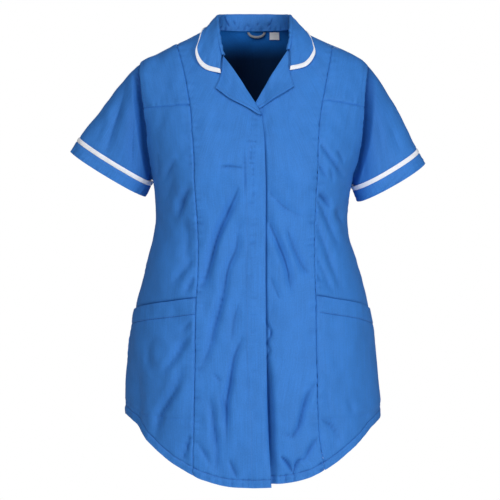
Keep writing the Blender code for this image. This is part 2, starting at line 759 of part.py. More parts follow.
def back_half(side, shoulder_tops):
    """Grid of one half of the back, from its middle to the side seam and armhole."""
    hole = ARMHOLES[side]
    width_top, _ = section_at(hole.top, side, BACK)
    neck_turns = np.linspace(0, math.pi / 2, COLUMNS_BACK_NECK + 1)[:-1]
    tops = [NECK_HALF * math.sin(turn) ** (2 / SECTION_POWER) for turn in neck_turns]
    tops += list(shoulder_tops)
    middle = (ARMHOLES[RIGHT].bottom + ARMHOLES[LEFT].bottom) / 2
    columns = []
    for place in tops:
        at_edge = place == tops[-1]
        share = 1.0 if at_edge else (place / float(width_top)) ** (SECTION_POWER / 2)
        whole = math.asin(share) / (math.pi / 2)

        def across(z, place=place, whole=whole):
            low = np.minimum(z, hole.top)
            x = across_from_turn(whole * armhole_turn(low, side, BACK), low, side, BACK)
            return side * np.where(z > hole.top, place, x)

        if at_edge:
            bottom, top = side_bottom(side), hole.top
        else:
            bottom = meet(hem_height, across, SEEK_HEM)
            top = NECK_HEIGHT if place < NECK_HALF else float(shoulder_height(place, side))
        chest = part_way(whole, middle, hole.bottom)
        levels = [bottom, *SIDE_LEVELS, chest, top - BACK_NECK_DROP, top]
        points = column_points(across, bottom, top, side, BACK, ridge=place >= NECK_HALF)
        columns.append(rows_by_level(points, levels, BACK_ROWS))
    return column_grid(columns)


def add_fronts(cloth):
    """Centre fronts, side fronts, yokes and pockets. Gives back the armhole edges."""
    pocket_rows = slice(ROWS_HEM, ROWS_HEM + ROWS_POCKET + 1)
    edges, tops = {}, {}
    for side, grid in ((RIGHT, over_front()), (LEFT, under_front())):
        extra = lap_relief if side == LEFT else None
        points, normals = dressed(grid, side, FRONT, extra)
        add_panel(f"front_centre_{side_name(side)}", points, normals, cloth)
        tops[side] = list(np.abs(grid[-1, -COLUMNS_SHOULDER - 1:, 0]))
    for side in (RIGHT, LEFT):
        grid = side_front(side)
        points, normals = dressed(grid, side, FRONT)
        name = side_name(side)
        add_panel(f"front_side_{name}", points[: YOKE_ROW + 1], normals[: YOKE_ROW + 1], cloth)
        add_panel(f"front_yoke_{name}", points[YOKE_ROW:], normals[YOKE_ROW:], cloth)
        patch, patch_normals = points[pocket_rows], normals[pocket_rows]
        add_panel(f"pocket_{name}", patch, patch_normals, cloth, CLOTH, PATCH_GAP + CLOTH)
        edges[side] = points[UNDERARM_ROW:, -1], normals[UNDERARM_ROW:, -1]
        tops[side] += list(np.abs(grid[-1, 1:, 0]))
    return edges, tops


def add_back(cloth, tops):
    """One plain back. Gives back its armhole edges."""
    halves = {side: back_half(side, tops[side]) for side in (RIGHT, LEFT)}
    parts = {side: dressed(halves[side], side, BACK) for side in halves}
    points = np.concatenate([parts[RIGHT][0][:, :0:-1], parts[LEFT][0]], axis=1)
    normals = np.concatenate([parts[RIGHT][1][:, :0:-1], parts[LEFT][1]], axis=1)
    add_panel("back", points, normals, cloth)
    return {
        side: (points_part[UNDERARM_ROW:, -1], normals_part[UNDERARM_ROW:, -1])
        for side, (points_part, normals_part) in parts.items()
    }


def unit(vectors):
    """Vectors of length one."""
    return vectors / np.linalg.norm(vectors, axis=-1, keepdims=True)


def armhole_loop(front_edge, back_edge):
    """Points, normals and turns round an armhole: the shoulder, down the front, up the back."""
    front_points, front_normals = front_edge
    back_points, back_normals = back_edge
    loop = np.concatenate([front_points[::-1], back_points[1:-1]])
    normals = np.concatenate([front_normals[::-1], back_normals[1:-1]])
    front_turns = math.pi * shares_along(front_points[::-1])[:-1]
    back_turns = math.pi + math.pi * shares_along(back_points)[:-1]
    return loop, normals, np.concatenate([front_turns, back_turns])


def sleeve_hem_loop(side, turns):
    """Points of a sleeve's hem: turn 0 is its outer end, then front, inner end and back."""
    hem = SLEEVE_HEMS[side]
    outer = np.array([side * hem.outer_x, 0, hem.outer_z])
    inner = np.array([side * hem.inner_x, 0, hem.inner_z])
    middle = (outer + inner) / 2
    forward = np.array([0, -SLEEVE_DEPTH, -SLEEVE_LEAN[side]])
    return middle + np.cos(turns)[:, None] * (outer - middle) + np.sin(turns)[:, None] * forward


def sleeve_paths(side, loop, turns):
    """Fine paths from the armhole to the sleeve's hem, springing outward at the shoulder."""
    hem = sleeve_hem_loop(side, turns)
    ends = SLEEVE_HEMS[side]
    axis = np.array([side * (ends.outer_z - ends.inner_z), 0, ends.inner_x - ends.outer_x])
    reach = np.linalg.norm(hem - loop, axis=1, keepdims=True)
    away = (hem - loop) / reach
    spring_x = np.full(len(turns), side * SLEEVE_SPRING[side])
    spring = np.stack([spring_x, -SLEEVE_SPREAD * np.sin(turns), 0 * turns], axis=-1)
    start_way = unit(away + spring * (0.5 + 0.5 * np.cos(turns))[:, None])
    end_way = unit(away + unit(axis))
    t = np.linspace(0, 1, SLEEVE_STEPS + 1)[:, None, None]
    return hermite(t, loop, reach * start_way, hem, reach * end_way)


def rows_between(paths, lengths, starts, stops, rows):
    """Rows of values at even steps between two lengths along every path."""
    marks = starts + np.linspace(0, 1, rows + 1)[:, None] * (stops - starts)
    columns = [along_path(paths[:, j], lengths[:, j], marks[:, j]) for j in range(paths.shape[1])]
    return column_grid(columns)


def add_tube(name, points, normals, material, thickness):
    """Wall of a closed tube, its ends drawn in for the seams, flush on the inside."""
    points = inset(points, normals, SEAM_GAP, closed=True)
    outer = points + normals * (thickness - CLOTH)
    add_wall(name, outer, points - normals * CLOTH, material, closed=True)


def add_sleeve(side, front_edge, back_edge, cloth, white):
    """Sleeve, its white strip and its hem band, as three tubes end to end."""
    loop, loop_normals, turns = armhole_loop(front_edge, back_edge)
    paths = sleeve_paths(side, loop, turns)
    path_normals = grid_normals(paths, closed=True) * side
    lengths = np.stack([arc_length(paths[:, j]) for j in range(len(turns))], axis=1)
    whole = lengths[-1]
    trim_start = whole - CUFF_DEPTH - TRIM_DEPTH
    cuff_start = whole - CUFF_DEPTH
    name = side_name(side)
    for piece, starts, stops, rows, material, thickness in (
        ("sleeve", 0 * whole, trim_start, SLEEVE_ROWS, cloth, CLOTH),
        ("sleeve_trim", trim_start, cuff_start, 1, white, TRIM_CLOTH),
        ("cuff", cuff_start, whole, CUFF_ROWS, cloth, CLOTH),
    ):
        points = rows_between(paths, lengths, starts, stops, rows)
        normals = rows_between(path_normals, lengths, starts, stops, rows)
        if piece == "sleeve":
            normals[0] += loop_normals
        add_tube(f"{piece}_{name}", points, unit(normals), material, thickness)


def collar_ribs():
    """Neck seam, crest and outer edge of the collar, from the right gorge round to the left."""
    right, left = COLLAR_RIBS[RIGHT], COLLAR_RIBS[LEFT][-2::-1]
    places = column_of(right, "along") + [2 - place for place in column_of(left, "along")]
    ways = np.array([RIGHT] * len(right) + [LEFT] * len(left))
    at = np.linspace(0, 2, 2 * COLLAR_COLUMNS + 1)
    curves = []
    for part in ("seam", "roll", "edge"):
        values = np.array([[getattr(row, f"{part}_{axis}") for axis in "xyz"] for row in right + left])
        values[:, 0] *= ways
        curves.append(smooth_curve(places, values, at))
    return curves


def collar_grid():
    """Rows of points from the neck seam up the stand, over the fold and down the fall."""
    seam, crest, edge = collar_ribs()
    up = unit(crest - seam)
    along = unit(np.gradient(crest, axis=0))
    out = unit(np.cross(along, up))
    out *= np.sign(np.sum(out * (edge - crest), axis=-1, keepdims=True))
    centre = crest - up * COLLAR_FOLD
    height = np.linalg.norm(centre - seam, axis=-1, keepdims=True)
    stand = np.maximum(height / 2, COLLAR_LIFT + COLLAR_FOLD / 4)
    rows = [seam + up * COLLAR_LIFT, seam + up * stand - out * STAND_LEAN]
    for turn in np.linspace(0, math.pi, COLLAR_FOLD_ROWS):
        rows.append(centre + COLLAR_FOLD * (up * math.sin(turn) - out * math.cos(turn)))
    fold_end = rows[-1]
    fall = edge - fold_end
    binding = 1 - BINDING / np.linalg.norm(fall, axis=-1, keepdims=True)
    for share in (*COLLAR_FALL, binding):
        bulge = COLLAR_BULGE * 4 * share * (1 - share)
        rows.append(clear_of_body(fold_end + fall * share + unit(out + up) * bulge, COLLAR_LIE))
    rows.append(clear_of_body(edge, COLLAR_LIE))
    return np.stack(rows)


def add_collar(cloth, white):
    """Stand, fold and fall as one wall, with the white binding along its edge."""
    grid = collar_grid()
    normals = grid_normals(grid)
    for name, part, material, thickness in (
        ("collar", slice(0, -1), cloth, CLOTH),
        ("collar_trim", slice(-2, None), white, TRIM_CLOTH),
    ):
        points = inset(grid[part], normals[part], BINDING_GAP)
        half = normals[part] * thickness / 2
        add_wall(name, points + half, points - half, material)


def add_lapel(side, cloth):
    """Turned-back front on its panel, raised a little where it folds."""
    table = LAPELS[side]
    along = np.linspace(0, 1, LAPEL_ROWS + 1)
    columns = {
        name: smooth_curve(column_of(table, "along"), column_of(table, name), along)
        for name in LapelPlace._fields[1:]
    }
    share = np.linspace(0, 1, LAPEL_COLUMNS + 1)[None, :]
    x = part_way(share, columns["roll_across"][:, None], columns["edge_across"][:, None])
    z = part_way(share, columns["roll_height"][:, None], columns["edge_height"][:, None])
    extra = lap_relief if side == LEFT else None
    points, normals = dressed(body_point(x, z, side, FRONT), side, FRONT, extra)
    add_panel(f"lapel_{side_name(side)}", points, normals, cloth, CLOTH, LAPEL_GAP + CLOTH)


def inside_back(x, z, gap):
    """Points a gap inside the back's inner face, and the direction into the hollow."""
    points = body_point(x, z, LEFT, BACK)
    normals = body_normal(points, LEFT, BACK)
    return points - normals * (CLOTH + gap), -normals


def add_neck_pieces(tape, label):
    """Hanging loop and plain label inside the back neck."""
    turns = np.linspace(0, math.pi, 9)[:, None]
    narrower = LOOP_WIDTH * (1 - np.array([[0.0, 1.0]]))
    x = LOOP_MIDDLE - np.cos(turns) * (LOOP_HALF - narrower)
    z = LOOP_TOP - np.sin(turns) * (LOOP_DROP - narrower)
    points, normals = inside_back(x, z, LOOP_GAP)
    add_wall("hanger_loop", points, points + normals * TAPE, tape)
    x, z = np.meshgrid(np.linspace(*LABEL_ACROSS, 4), np.linspace(*LABEL_HEIGHTS, 3))
    points, normals = inside_back(x, z, LABEL_GAP)
    add_wall("care_label", points, points + normals * TAPE, label)


def build():
    """Make every piece of the tunic."""
    for thing in list(bpy.data.objects):
        bpy.data.objects.remove(thing)
    poplin = cloth_material("blue_poplin", (0.055, 0.21, 0.60), 0.75, 0.15)
    white = cloth_material("white_binding", (0.82, 0.84, 0.88), 0.7)
    tape = cloth_material("loop_tape", (0.38, 0.40, 0.42), 0.8)
    label = cloth_material("label_cloth", (0.75, 0.75, 0.76), 0.6)
    edges, tops = add_fronts(poplin)
    back_edges = add_back(poplin, tops)
    for side in (RIGHT, LEFT):
        add_sleeve(side, edges[side], back_edges[side], poplin, white)
        add_lapel(side, poplin)
    add_collar(poplin, white)
    add_neck_pieces(tape, label)


build()
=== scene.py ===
"""Looks of the maternity tunic: cloth shells with their folds, sewing, materials, light and camera.

The forms repeat the tables and functions of the part's source, in the same frame: +Z up, front at -Y,
the wearer's left at +X, origin between the neck ends of the shoulder seams. Tables are typed in
millimetres and thousandths, everything else in metres.
"""
import math
from collections import namedtuple
from functools import partial

import bpy
import mathutils
import numpy as np
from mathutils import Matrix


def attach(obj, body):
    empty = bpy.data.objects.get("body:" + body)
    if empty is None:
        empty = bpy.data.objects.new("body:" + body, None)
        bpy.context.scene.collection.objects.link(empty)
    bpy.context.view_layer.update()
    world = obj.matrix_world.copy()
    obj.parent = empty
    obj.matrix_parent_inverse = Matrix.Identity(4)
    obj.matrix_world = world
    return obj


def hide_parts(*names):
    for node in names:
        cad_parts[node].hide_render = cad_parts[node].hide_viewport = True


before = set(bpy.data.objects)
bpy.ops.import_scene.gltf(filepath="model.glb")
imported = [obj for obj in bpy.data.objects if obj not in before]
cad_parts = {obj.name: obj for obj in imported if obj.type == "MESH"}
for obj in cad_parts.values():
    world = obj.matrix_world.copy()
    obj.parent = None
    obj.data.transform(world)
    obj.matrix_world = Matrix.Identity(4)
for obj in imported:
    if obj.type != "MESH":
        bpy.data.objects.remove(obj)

Fold = namedtuple("Fold", "half_width depth path")


def in_metres(row):
    """Numbers typed in millimetres or thousandths, as metres or shares."""
    return [round(part / 1000, 6) for part in row]


def table(fields, *rows):
    """Named rows in metres and shares, from rows typed in millimetres and thousandths."""
    row_type = namedtuple("Row", fields)
    return tuple(row_type(*in_metres(row)) for row in rows)


def both_sides(fields, right, left):
    """One named row for each side, typed like a table's rows."""
    return dict(zip((RIGHT, LEFT), table(fields, right, left)))


def folds(*rows):
    """Folds typed in millimetres: half width, depth, then across and height of each place."""
    made = []
    for row in rows:
        half_width, depth, *path = in_metres(row)
        made.append(Fold(half_width, depth, np.array(path).reshape(-1, 2)))
    return tuple(made)


LAP_STEP = 0.0024  # how far the under front lies inside the over front
LAP_COVER = 0.004  # the under front is fully inside this far past the lap's edge
LAP_RISE = 0.014  # and comes out again over this width
UNDER_EDGE = -0.012  # hidden edge of the under front
UNDER_SHARES = (0.32, 0.44)  # shares of the under front's columns up to the cover and the rise
SECTION_POWER = 2.4  # 2 is an ellipse, more is squarer

RIGHT = -1  # the wearer's right is at -X
LEFT = 1
FRONT = -1  # the front is at -Y
BACK = 1

BODY = table("height right left front back",
    (-780, 217, 217, 186, 150),
    (-650, 216, 216, 184, 146),
    (-595, 213.4, 213.4, 181, 141),
    (-527, 207.4, 207.4, 175, 133),
    (-459, 195.5, 195.5, 168, 125),
    (-391, 177.7, 177.7, 157, 117),
    (-357, 166.6, 166.6, 151, 114),
    (-323, 162.4, 162.4, 147, 114),
    (-289, 164, 164, 146, 118),
    (-254, 167.2, 169, 146, 123),
    (-220, 178, 184, 142, 127),
    (-190, 186, 193, 135, 128),
    (-160, 193, 200.5, 124, 127),
    (-130, 199, 206, 112, 124),
    (-100, 204.5, 209, 98, 117),
    (-80, 203.5, 206.5, 89, 110),
    (-65, 197.5, 199.5, 82, 104),
    (-54, 190, 190, 77, 99),
    (-34, 154.7, 154.7, 68, 89),
    (-17, 116.5, 115, 60, 80),
    (5, 68, 68, 48, 72),
)
SIDE_NAMES = {RIGHT: "right", LEFT: "left"}
FACE_NAMES = {FRONT: "front", BACK: "back"}
OUTLINE = "across height"
LAPEL = "along roll_across roll_height edge_across edge_height"
RIB = "along seam_x seam_y seam_z roll_x roll_y roll_z edge_x edge_y edge_z"
MOUND = "across height half_width half_height rise"
NECK_HEIGHT = 0.005  # the back neck seam is level
NECK_HALF = 0.068
SHOULDER_END = -0.078  # the shoulder's ridge ends above this height
BACK_NECK_DROP = 0.027  # closer rows over this height at the top of the back

ARMHOLES = both_sides("top bottom", (-54.5, -254), (-61, -262))
ARMHOLE_FRONT = 0.056  # how far the armhole reaches forward of the shoulder seam
ARMHOLE_BACK = 0.060
ARMHOLE_POWER = 2.4
PRINCESS = table("height right left",
    (-780, 97, 122),
    (-725, 96.6, 117.2),
    (-680, 96, 111.4),
    (-590, 94.9, 106.3),
    (-500, 92.8, 106.1),
    (-408, 90.6, 103.3),
    (-325, 89.2, 104.3),
    (-272, 91.1, 103.5),
    (-217, 94, 106.2),
    (-176, 98.5, 109.7),
    (-139, 102, 115),
    (-118, 105.7, 118.8),
    (-87, 111.5, 125),
    (-56, 119, 131),
    (-30, 127, 136),
)
LAP_EDGE = table("height across",  # open edge of the over front, on the wearer's left of the centre
    (-780, 32.5),
    (-679, 27.4),
    (-608, 24.8),
    (-537, 23.4),
    (-389, 22.1),
    (-292, 22.6),
    (-190, 19.6),
    (-156, 16.4),
)
HEM_MIDDLE = 0.003  # the hem's lowest point is this far to the wearer's left
HEM = table("across height",  # shirt-tail hem, measured both ways from its lowest point
    (0, -760.5),
    (36, -759),
    (83, -747.7),
    (115, -732.5),
    (140, -717),
    (158, -702),
    (175, -687),
    (190, -672),
    (206, -658),
    (216, -650),
)
ROLL_LINES = {  # top of each centre front: fold of the lapel, then the neck seam
    RIGHT: table(OUTLINE,
        (16.4, -155),
        (4.9, -132.8),
        (-21.7, -91.8),
        (-48.5, -50.3),
        (-60, -23),
        (-68, 5),
    ),
    LEFT: table(OUTLINE,
        (-12, -158),
        (5, -133),
        (28.1, -91.8),
        (51.5, -56),
        (60, -40.8),
        (65.5, -20),
        (68, 5),
    ),
}
GORGE = {RIGHT: 0.0485, LEFT: 0.0600}  # where the collar's front end meets the roll line

YOKE_HEIGHT = {RIGHT: (-0.1330, -0.1366), LEFT: (-0.1245, -0.1340)}
POCKET_BOTTOM = -0.650  # at the princess seams
POCKET_TOP = {RIGHT: -0.4533, LEFT: -0.4493}
SIDE_LEVELS = (-0.639, -0.4755)  # bottom and top where they reach the side seams
LAPELS = {
    RIGHT: table(LAPEL,
        (0, -48, -52.2, -50.4, -81.2),
        (220, -33, -74, -60, -107.2),
        (520, -11.5, -107, -34, -126.7),
        (800, 6.5, -135.5, -3.5, -142.8),
        (1000, 15, -152, 11.8, -153.5),
    ),
    LEFT: table(LAPEL,
        (0, 59, -43, 61.2, -75.7),
        (240, 46, -64.5, 69.2, -104.4),
        (600, 24.5, -99, 40, -123.2),
        (1000, 6, -131.8, 12.5, -139.5),
    ),
}
COLLAR_RIBS = {  # from the gorge to the middle of the back, each side
    RIGHT: table(RIB,
        (0, 48.5, -74.5, -50, 48.5, -79, -48, 52.1, -90.5, -80),
        (160, 55.2, -66, -33.5, 52.4, -69, -27, 75.7, -85, -73.8),
        (300, 62.5, -48, -11, 55.8, -47.5, 1, 90.5, -75.5, -59),
        (380, 66, -26.5, -1.5, 57.6, -29, 12.5, 94.8, -67, -42),
        (460, 68, -5, 6, 57.8, -10, 22.5, 89.3, -53, -23.5),
        (540, 66.8, 15, 6, 55.5, 11, 26.2, 80.8, -19, -2.5),
        (620, 64, 33, 6, 54.8, 30, 28.5, 76.8, 10, 2.5),
        (800, 43, 60, 6, 44.5, 62, 32.5, 62, 74, -1),
        (1000, 0, 72, 6, 0, 76.5, 34.2, 0, 86, -9),
    ),
    LEFT: table(RIB,
        (0, 60, -68, -40.5, 60.5, -72.5, -38.5, 63, -88, -74.5),
        (160, 64.8, -59, -25, 64, -62, -18, 87.5, -79, -70),
        (300, 66.8, -40, -8, 64.8, -40, 5, 102.5, -70, -53),
        (380, 67.7, -21.5, 0, 65.2, -24, 15, 105.8, -64, -42.5),
        (460, 68, -3, 6, 65.2, -8, 23.5, 101.8, -51.2, -26.2),
        (540, 66.8, 15, 6, 63.6, 11, 26.2, 91.5, -19, -6.6),
        (620, 64, 33, 6, 62, 31, 28.5, 84.5, 10, 0.4),
        (800, 43, 60, 6, 46.5, 62, 32.5, 64, 74, -1),
        (1000, 0, 72, 6, 0, 76.5, 34.2, 0, 86, -9),
    ),
}
COLLAR_FLAT = 0.75  # over the shoulders the fall bulges this much less
COLLAR_FOLD = 0.0024  # radius of the fold at the top of the collar
COLLAR_LIFT = 0.0012  # the stand starts this far above its seam
COLLAR_LIE = 0.0032  # the middle of the fall's cloth lies this far off the body
COLLAR_BULGE = 0.0022  # how far the fall rounds out between fold and edge
STAND_LEAN = 0.0014  # the stand's middle leans in this far
BINDING = 0.0075  # width of the white binding on the collar

SLEEVE_HEMS = both_sides("outer_x outer_z inner_x inner_z",
    (309.4, -205.7, 181.9, -282.2),
    (294.1, -226.1, 178.5, -290.7))
SLEEVE_DEPTH = 0.046  # half the sleeve's hem from front to back
SLEEVE_LEAN = {RIGHT: 0.0065, LEFT: 0.0090}  # the front of the hem hangs this much lower
SLEEVE_SPRING = {RIGHT: 0.08, LEFT: 0.24}  # how far it leaves the shoulder outward, as a slope
SLEEVE_SPREAD = 0.10  # and forward and backward
CUFF_DEPTH = 0.021
TRIM_DEPTH = 0.0075
SLEEVE_FRONTS = table(MOUND,  # the fronts of the sleeves are fullest near the cuffs' inner ends
    (-200, -205, 32, 75, 6),
    (203, -215, 30, 75, 5),
)
ARMHOLE_TUCKS = both_sides("depth fall climb", (15, 5, 18), (14, 4, 24))
SHOULDER_SINKS = table(MOUND,  # the right shoulder hangs flatter
    (-118, -40, 45, 32, -4),
    (-174, -52, 30, 30, -2.8),
)
BUST = table(MOUND,
    (-88, -238, 58, 70, 10),
    (98, -238, 58, 70, 10),
)
CENTRE_FOLDS = folds(  # drag lines and creases of both centre fronts, (across, height) places
    (10, 6, -13, -262, -23, -286, -36, -312, -51, -343, -61, -376, -69, -405, -81, -441),
    (10, 4.6, -15, -334, -21, -369, -33, -398, -45, -457, -56, -496, -64, -530, -84, -576),
    (8, 1.8, -16, -456, -25, -488, -29, -524),
    (8, 4.4, -12, -518, -25, -548, -31, -584, -37, -626, -37, -682),
    (6, 2.2, -48, -598, -39, -637),
    (8, 3.6, -63, -608, -57, -666, -53, -697, -54, -735),
    (6, 2.2, -34, -712, -20, -744),
    (5, 1.4, -63, -572, -45, -588),
    (6, 2.4, -84, -686, -61, -725),
    (4, 1.6, -60, -239, -36, -236, -9, -239),
    (10, 5, 26, -312, 34, -326, 47, -354, 59, -382, 67, -410, 73, -446),
    (9, 3.2, 64, -339, 77, -371, 90, -398, 103, -414),
    (9, 1.6, 26, -268, 60, -302, 95, -321),
    (8, 1.6, 35, -413, 50, -453),
    (7, 4.2, 107, -590, 96, -607, 88, -634, 80, -661, 69, -674, 54, -671),
    (7, 3.4, 112, -677, 99, -697, 87, -719),
    (5, 3.6, 49, -709, 60, -720, 70, -737),
    (5, 3.6, 70, -737, 79, -716, 89, -712),
    (8, 4, 30, -560, 32, -617, 34, -682, 38, -735),
    (3, 2, 23.5, -485, 27.5, -494.5, 33.2, -507.5, 29.2, -519, 24.3, -529),
    (3, 1.8, 23.5, -520.5, 31, -537, 24, -550),
    (2.6, 1, -10, -198, -10.4, -225, -9.6, -262, -10, -291),
    (2.4, 0.8, 0, -200, -0.4, -240),
)
SIDE_FOLDS = folds(  # creases of the side fronts and of the pockets that lie on them
    (22, 5, -176, -540, -180, -600, -182, -690),
    (8, 2.6, -118, -222, -132, -242, -141, -261),
    (8, 1.6, -151, -206, -149, -250),
    (9, 5.2, -95, -270, -109, -293, -118, -320),
    (10, 2, -116, -238, -128, -268, -141, -296),
    (12, 3, -101, -318, -100, -360, -99, -404),
    (10, 2.8, -94, -386, -114, -412, -128, -430),
    (6, 2.6, -94, -415, -106, -446),
    (6, 2.2, -96, -487, -111, -509),
    (9, 3.8, -96, -511, -110, -527, -124, -552, -144, -576),
    (10, 5.2, -112, -556, -113, -575, -118, -594, -131, -616, -149, -646, -155, -686),
    (10, 2.6, -150, -512, -163, -532, -165, -553, -160, -578),
    (6, 3.2, -98, -672, -111, -718),
    (6, 3, 112, -195, 129, -219, 143, -238, 154, -251),
    (5, 1.8, 128, -233, 132, -260),
    (6, 2.2, 108, -230, 125, -255),
    (6, 2, 142, -206, 154, -228),
    (6, 4.2, 110, -278, 122, -288, 132, -303),
    (8, 3.2, 108, -283, 121, -306, 138, -341, 149, -366),
    (9, 3.4, 144, -299, 157, -329),
    (9, 3, 107, -317, 124, -357, 140, -400, 156, -442),
    (8, 2.4, 107, -373, 123, -409, 141, -448),
    (7, 2, 107, -403, 117, -424),
    (6, 1.4, 121, -597, 132, -636),
    (6, 2, 111, -645, 135, -659, 152, -688),
    (7, 1.4, 162, -612, 170, -646),
)
BACK_FOLDS = folds(  # the hidden back hangs in like folds
    (13, 5, -50, -290, -66, -340, -84, -410, -98, -490),
    (14, 4.5, 12, -320, 18, -400, 22, -480, 32, -570),
    (13, 5, 66, -280, 80, -340, 98, -410, 112, -480),
    (14, 4.5, -26, -510, -36, -580, -44, -650, -52, -710),
    (13, 4.5, 100, -530, 94, -600, 84, -660, 80, -700),
    (10, 3, -118, -250, -126, -300, -140, -350),
    (10, 3, 126, -250, 134, -310, 148, -360),
    (11, 3, -130, -480, -146, -550, -152, -620),
    (11, 2.8, 140, -500, 150, -560, 156, -630),
    (12, 2.2, -70, -120, -76, -170, -70, -220),
    (12, 2.2, 78, -110, 84, -160, 80, -220),
    (9, 2.4, -4, -250, 4, -290, 2, -330),
)
SLEEVE_FOLDS = folds(  # soft folds that fall from the sleeve head, the same idea front and back
    (14, 4.2, -205, -90, -214, -125, -226, -168, -237, -212),
    (8, 1.6, -192, -140, -194, -190, -197, -245),
    (10, 1, -236, -145, -250, -170, -262, -195),
    (10, 1.4, 208, -125, 216, -160, 222, -195, 228, -230),
    (8, 1.8, 190, -150, 192, -200, 195, -255),
    (10, 1, 236, -155, 248, -185, 258, -210),
)

STAND_FOLDS = folds(  # crinkles of the stand inside the back neck
    (3.4, 1.6, -45, 31, -41, 22, -36, 11),
    (2.6, 1, -30, 24, -25, 12),
    (3, 1.3, 37.5, 29, 33, 19, 27, 11),
    (2.4, 0.8, -6, 20, -4, 10),
    (2.4, 0.8, 12, 22, 10, 11),
)
LAP_GAP = table("height width depth",  # how the under front sinks beside the over front's edge
    (-780, 8.5, 8.5),
    (-740, 8.5, 9.5),
    (-640, 8, 11),
    (-575, 7, 8.5),
    (-540, 4, 5.5),
    (-480, 3.5, 5),
    (-430, 2.6, 4.2),
    (-290, 2.6, 4.2),
    (-200, 2.2, 3.4),
    (-156, 1.8, 2),
)

SHELL = 0.0007  # wall of the single cloth
DOUBLE_SHELL = 0.0012  # wall of the collar, the white strips and the cuffs, which are two layers
LAPEL_SHELL = 0.0010  # wall of the lapels
POCKET_SHELL = 0.0005  # wall of the pockets
PATH_STEPS = 24  # straight steps along one fold
FOLD_BANKS = 0.6  # how strongly the cloth rises on both sides of a fold
FOLD_STRENGTH = 1.8
FOLD_CREASE = 0.35  # share of a sharp crease in a fold's section
CREASE_STEEP = 2.5  # how quickly that crease dies away
FOLD_END = 0.02  # share of a fold's length at which its fading stops
FOLD_FADE = 0.7  # power of the fading towards its ends
WAVE_SPREAD = (0.7, 1.5)  # shortest and longest wave in a ripple, as shares of its length
HOLLOW_LEAST = 14.0  # inward bends get painted shade from this many radians a metre
HOLLOW_MOST = 380.0  # and fully this much above it
TUCK_SHADE = 0.75  # painted shade at the bottom of a tuck
ARM_SHADE = 0.40  # painted shade on the front of a sleeve beside the body
ARM_SHADE_REACH = 0.070
TROUGH_OFFSET = (-0.6, -0.25)  # from a fold's shaded flank to its trough, in half widths

# Small forms of the sewing.
SEAM_DROP = 0.0017  # the cloth dips this far into a seam
SEAM_SOFT = 0.0014  # over this width
HEM_BAND = 0.013  # depth of the turned hem
BAND_RISE = 0.0006  # extra thickness of a turned band
BAND_EDGE = 0.0012  # over which it ends
STITCH_DENT = 0.00110  # a row of stitches pulls the cloth in this far
STITCH_DENT_WIDTH = 0.0012
PUCKER = 0.00065  # ripples along sewn edges
PUCKER_LENGTH = 0.010
PUCKER_REACH = 0.011
FINE_PUCKER = 0.009  # length of the ripples on pockets, cuffs and the collar's edge
POCKET_PUCKER = 0.6  # in some places the ripples have only this share of their height
SIDE_PUCKER = 0.35
YOKE_PUCKER = 0.5
CUFF_PUCKER = 0.7
COLLAR_PUCKER = 0.8
YOKE_CALM = 0.25  # below the yoke's seam they have only this share of that
POCKET_PUCKER_REACH = 0.02
YOKE_PUCKER_LENGTH = 0.007
POCKET_BAND = 0.026
POCKET_LIFT = 0.0012
POCKET_GAPE = 0.0016  # the mouth of a pocket stands off this much more
POCKET_GAPE_DEPTH = 0.020
UNDER_HEM_RISE = 0.0055  # the under front's hem ends this much higher at the lap
UNDER_HEM_ACROSS = (0.03, 0.045)  # up to this far across, then less over this width
UNDER_HEM_HEIGHT = 0.05  # and less over this height
PLACKET_STITCH = 0.031  # row of stitches beside the front's open edge
ARMHOLE_STITCH = 0.008
POCKET_LIE = 0.0002  # a pocket's seams lie this far off the panel
POCKET_TUCK = (0.0022, 0.0016)  # depth and width of the panel's dent under a pocket's mouth
POCKET_TUCK_UP = 0.0012  # it lies this far above the mouth
POCKET_SEWN = 0.003  # a pocket comes down to its bottom seam over this length
POCKET_GAP = 0.2  # gap under a pocket, as a share of the panel's wall
SEWN_IN = 0.5  # the armhole's side dips into its seam this much less
UNDERARM_FADE = 0.01  # it begins over this length at the underarm
DRAPE_WAVES = ((0.0010, 0.060), (0.00032, 0.020))  # height and length of the cloth's unevenness
HEM_WAVE_LENGTH = 0.0085
HEM_WAVE_REACH = 0.008
HEM_WAVE_HEIGHT = 0.9  # in puckers
HEM_WAVE_PLACE = 0.6  # share of the band's depth where the ripples are highest
HEM_WAVE_SLANT = 0.1  # how little they change upwards
SEWN_REACH = 0.010  # a sleeve joins the body's edge over this length
SEWN_TURN = 0.012  # and turns from the body's direction to its own over this one
SLEEVE_CALM = 0.02  # its folds start this far from the seam
SLEEVE_SEWN = 0.002  # and its ripples this far
SLEEVE_PUCKER = 0.0003
SLEEVE_DRAPE = 0.6  # a sleeve's unevenness, as a share of the body's
BEHIND_TUCK = 0.5  # the tuck behind the arm, as a share of the one in front
TUCK_ROUND = 0.7  # power of its fading over the shoulder and under the arm
TUCK_WAY = (0.6, 0.4)  # how far a tuck goes off the body's face, and inwards
TRIM_DIP = 0.6  # the dip beside the white strip, as a share of a seam's
TRIM_RISE = 0.0007  # the white strip stands this far off in its middle
TRIM_ROUND = 0.4  # power of its rounding
CUFF_ROLL = (0.006, 0.0004, 0.006)  # place, height and width of a cuff's rounded end
COLLAR_CRINKLE = 0.00035
COLLAR_WAVE = (0.030, 0.012)  # length of the crinkles, and where they start below the neck seam
STAND_WAVE = (0.0006, 0.011, 0.014)  # height, length and reach of the ripples above the neck seam
STAND_WAVE_SLANT = 0.35  # how little they change down the stand
COLLAR_FLAT_PLACE = (0.6, 0.12)  # where the fall lies flat: its middle and reach, in half lengths
COLLAR_LENGTH = 0.42  # length of the neck line that the collar's crinkles are spread over
BINDING_LIFT = 0.00035  # the binding stands off the collar's cloth
NECK_FADE = (0.002, 0.007)  # start below the neck seam and height, over which the body is left
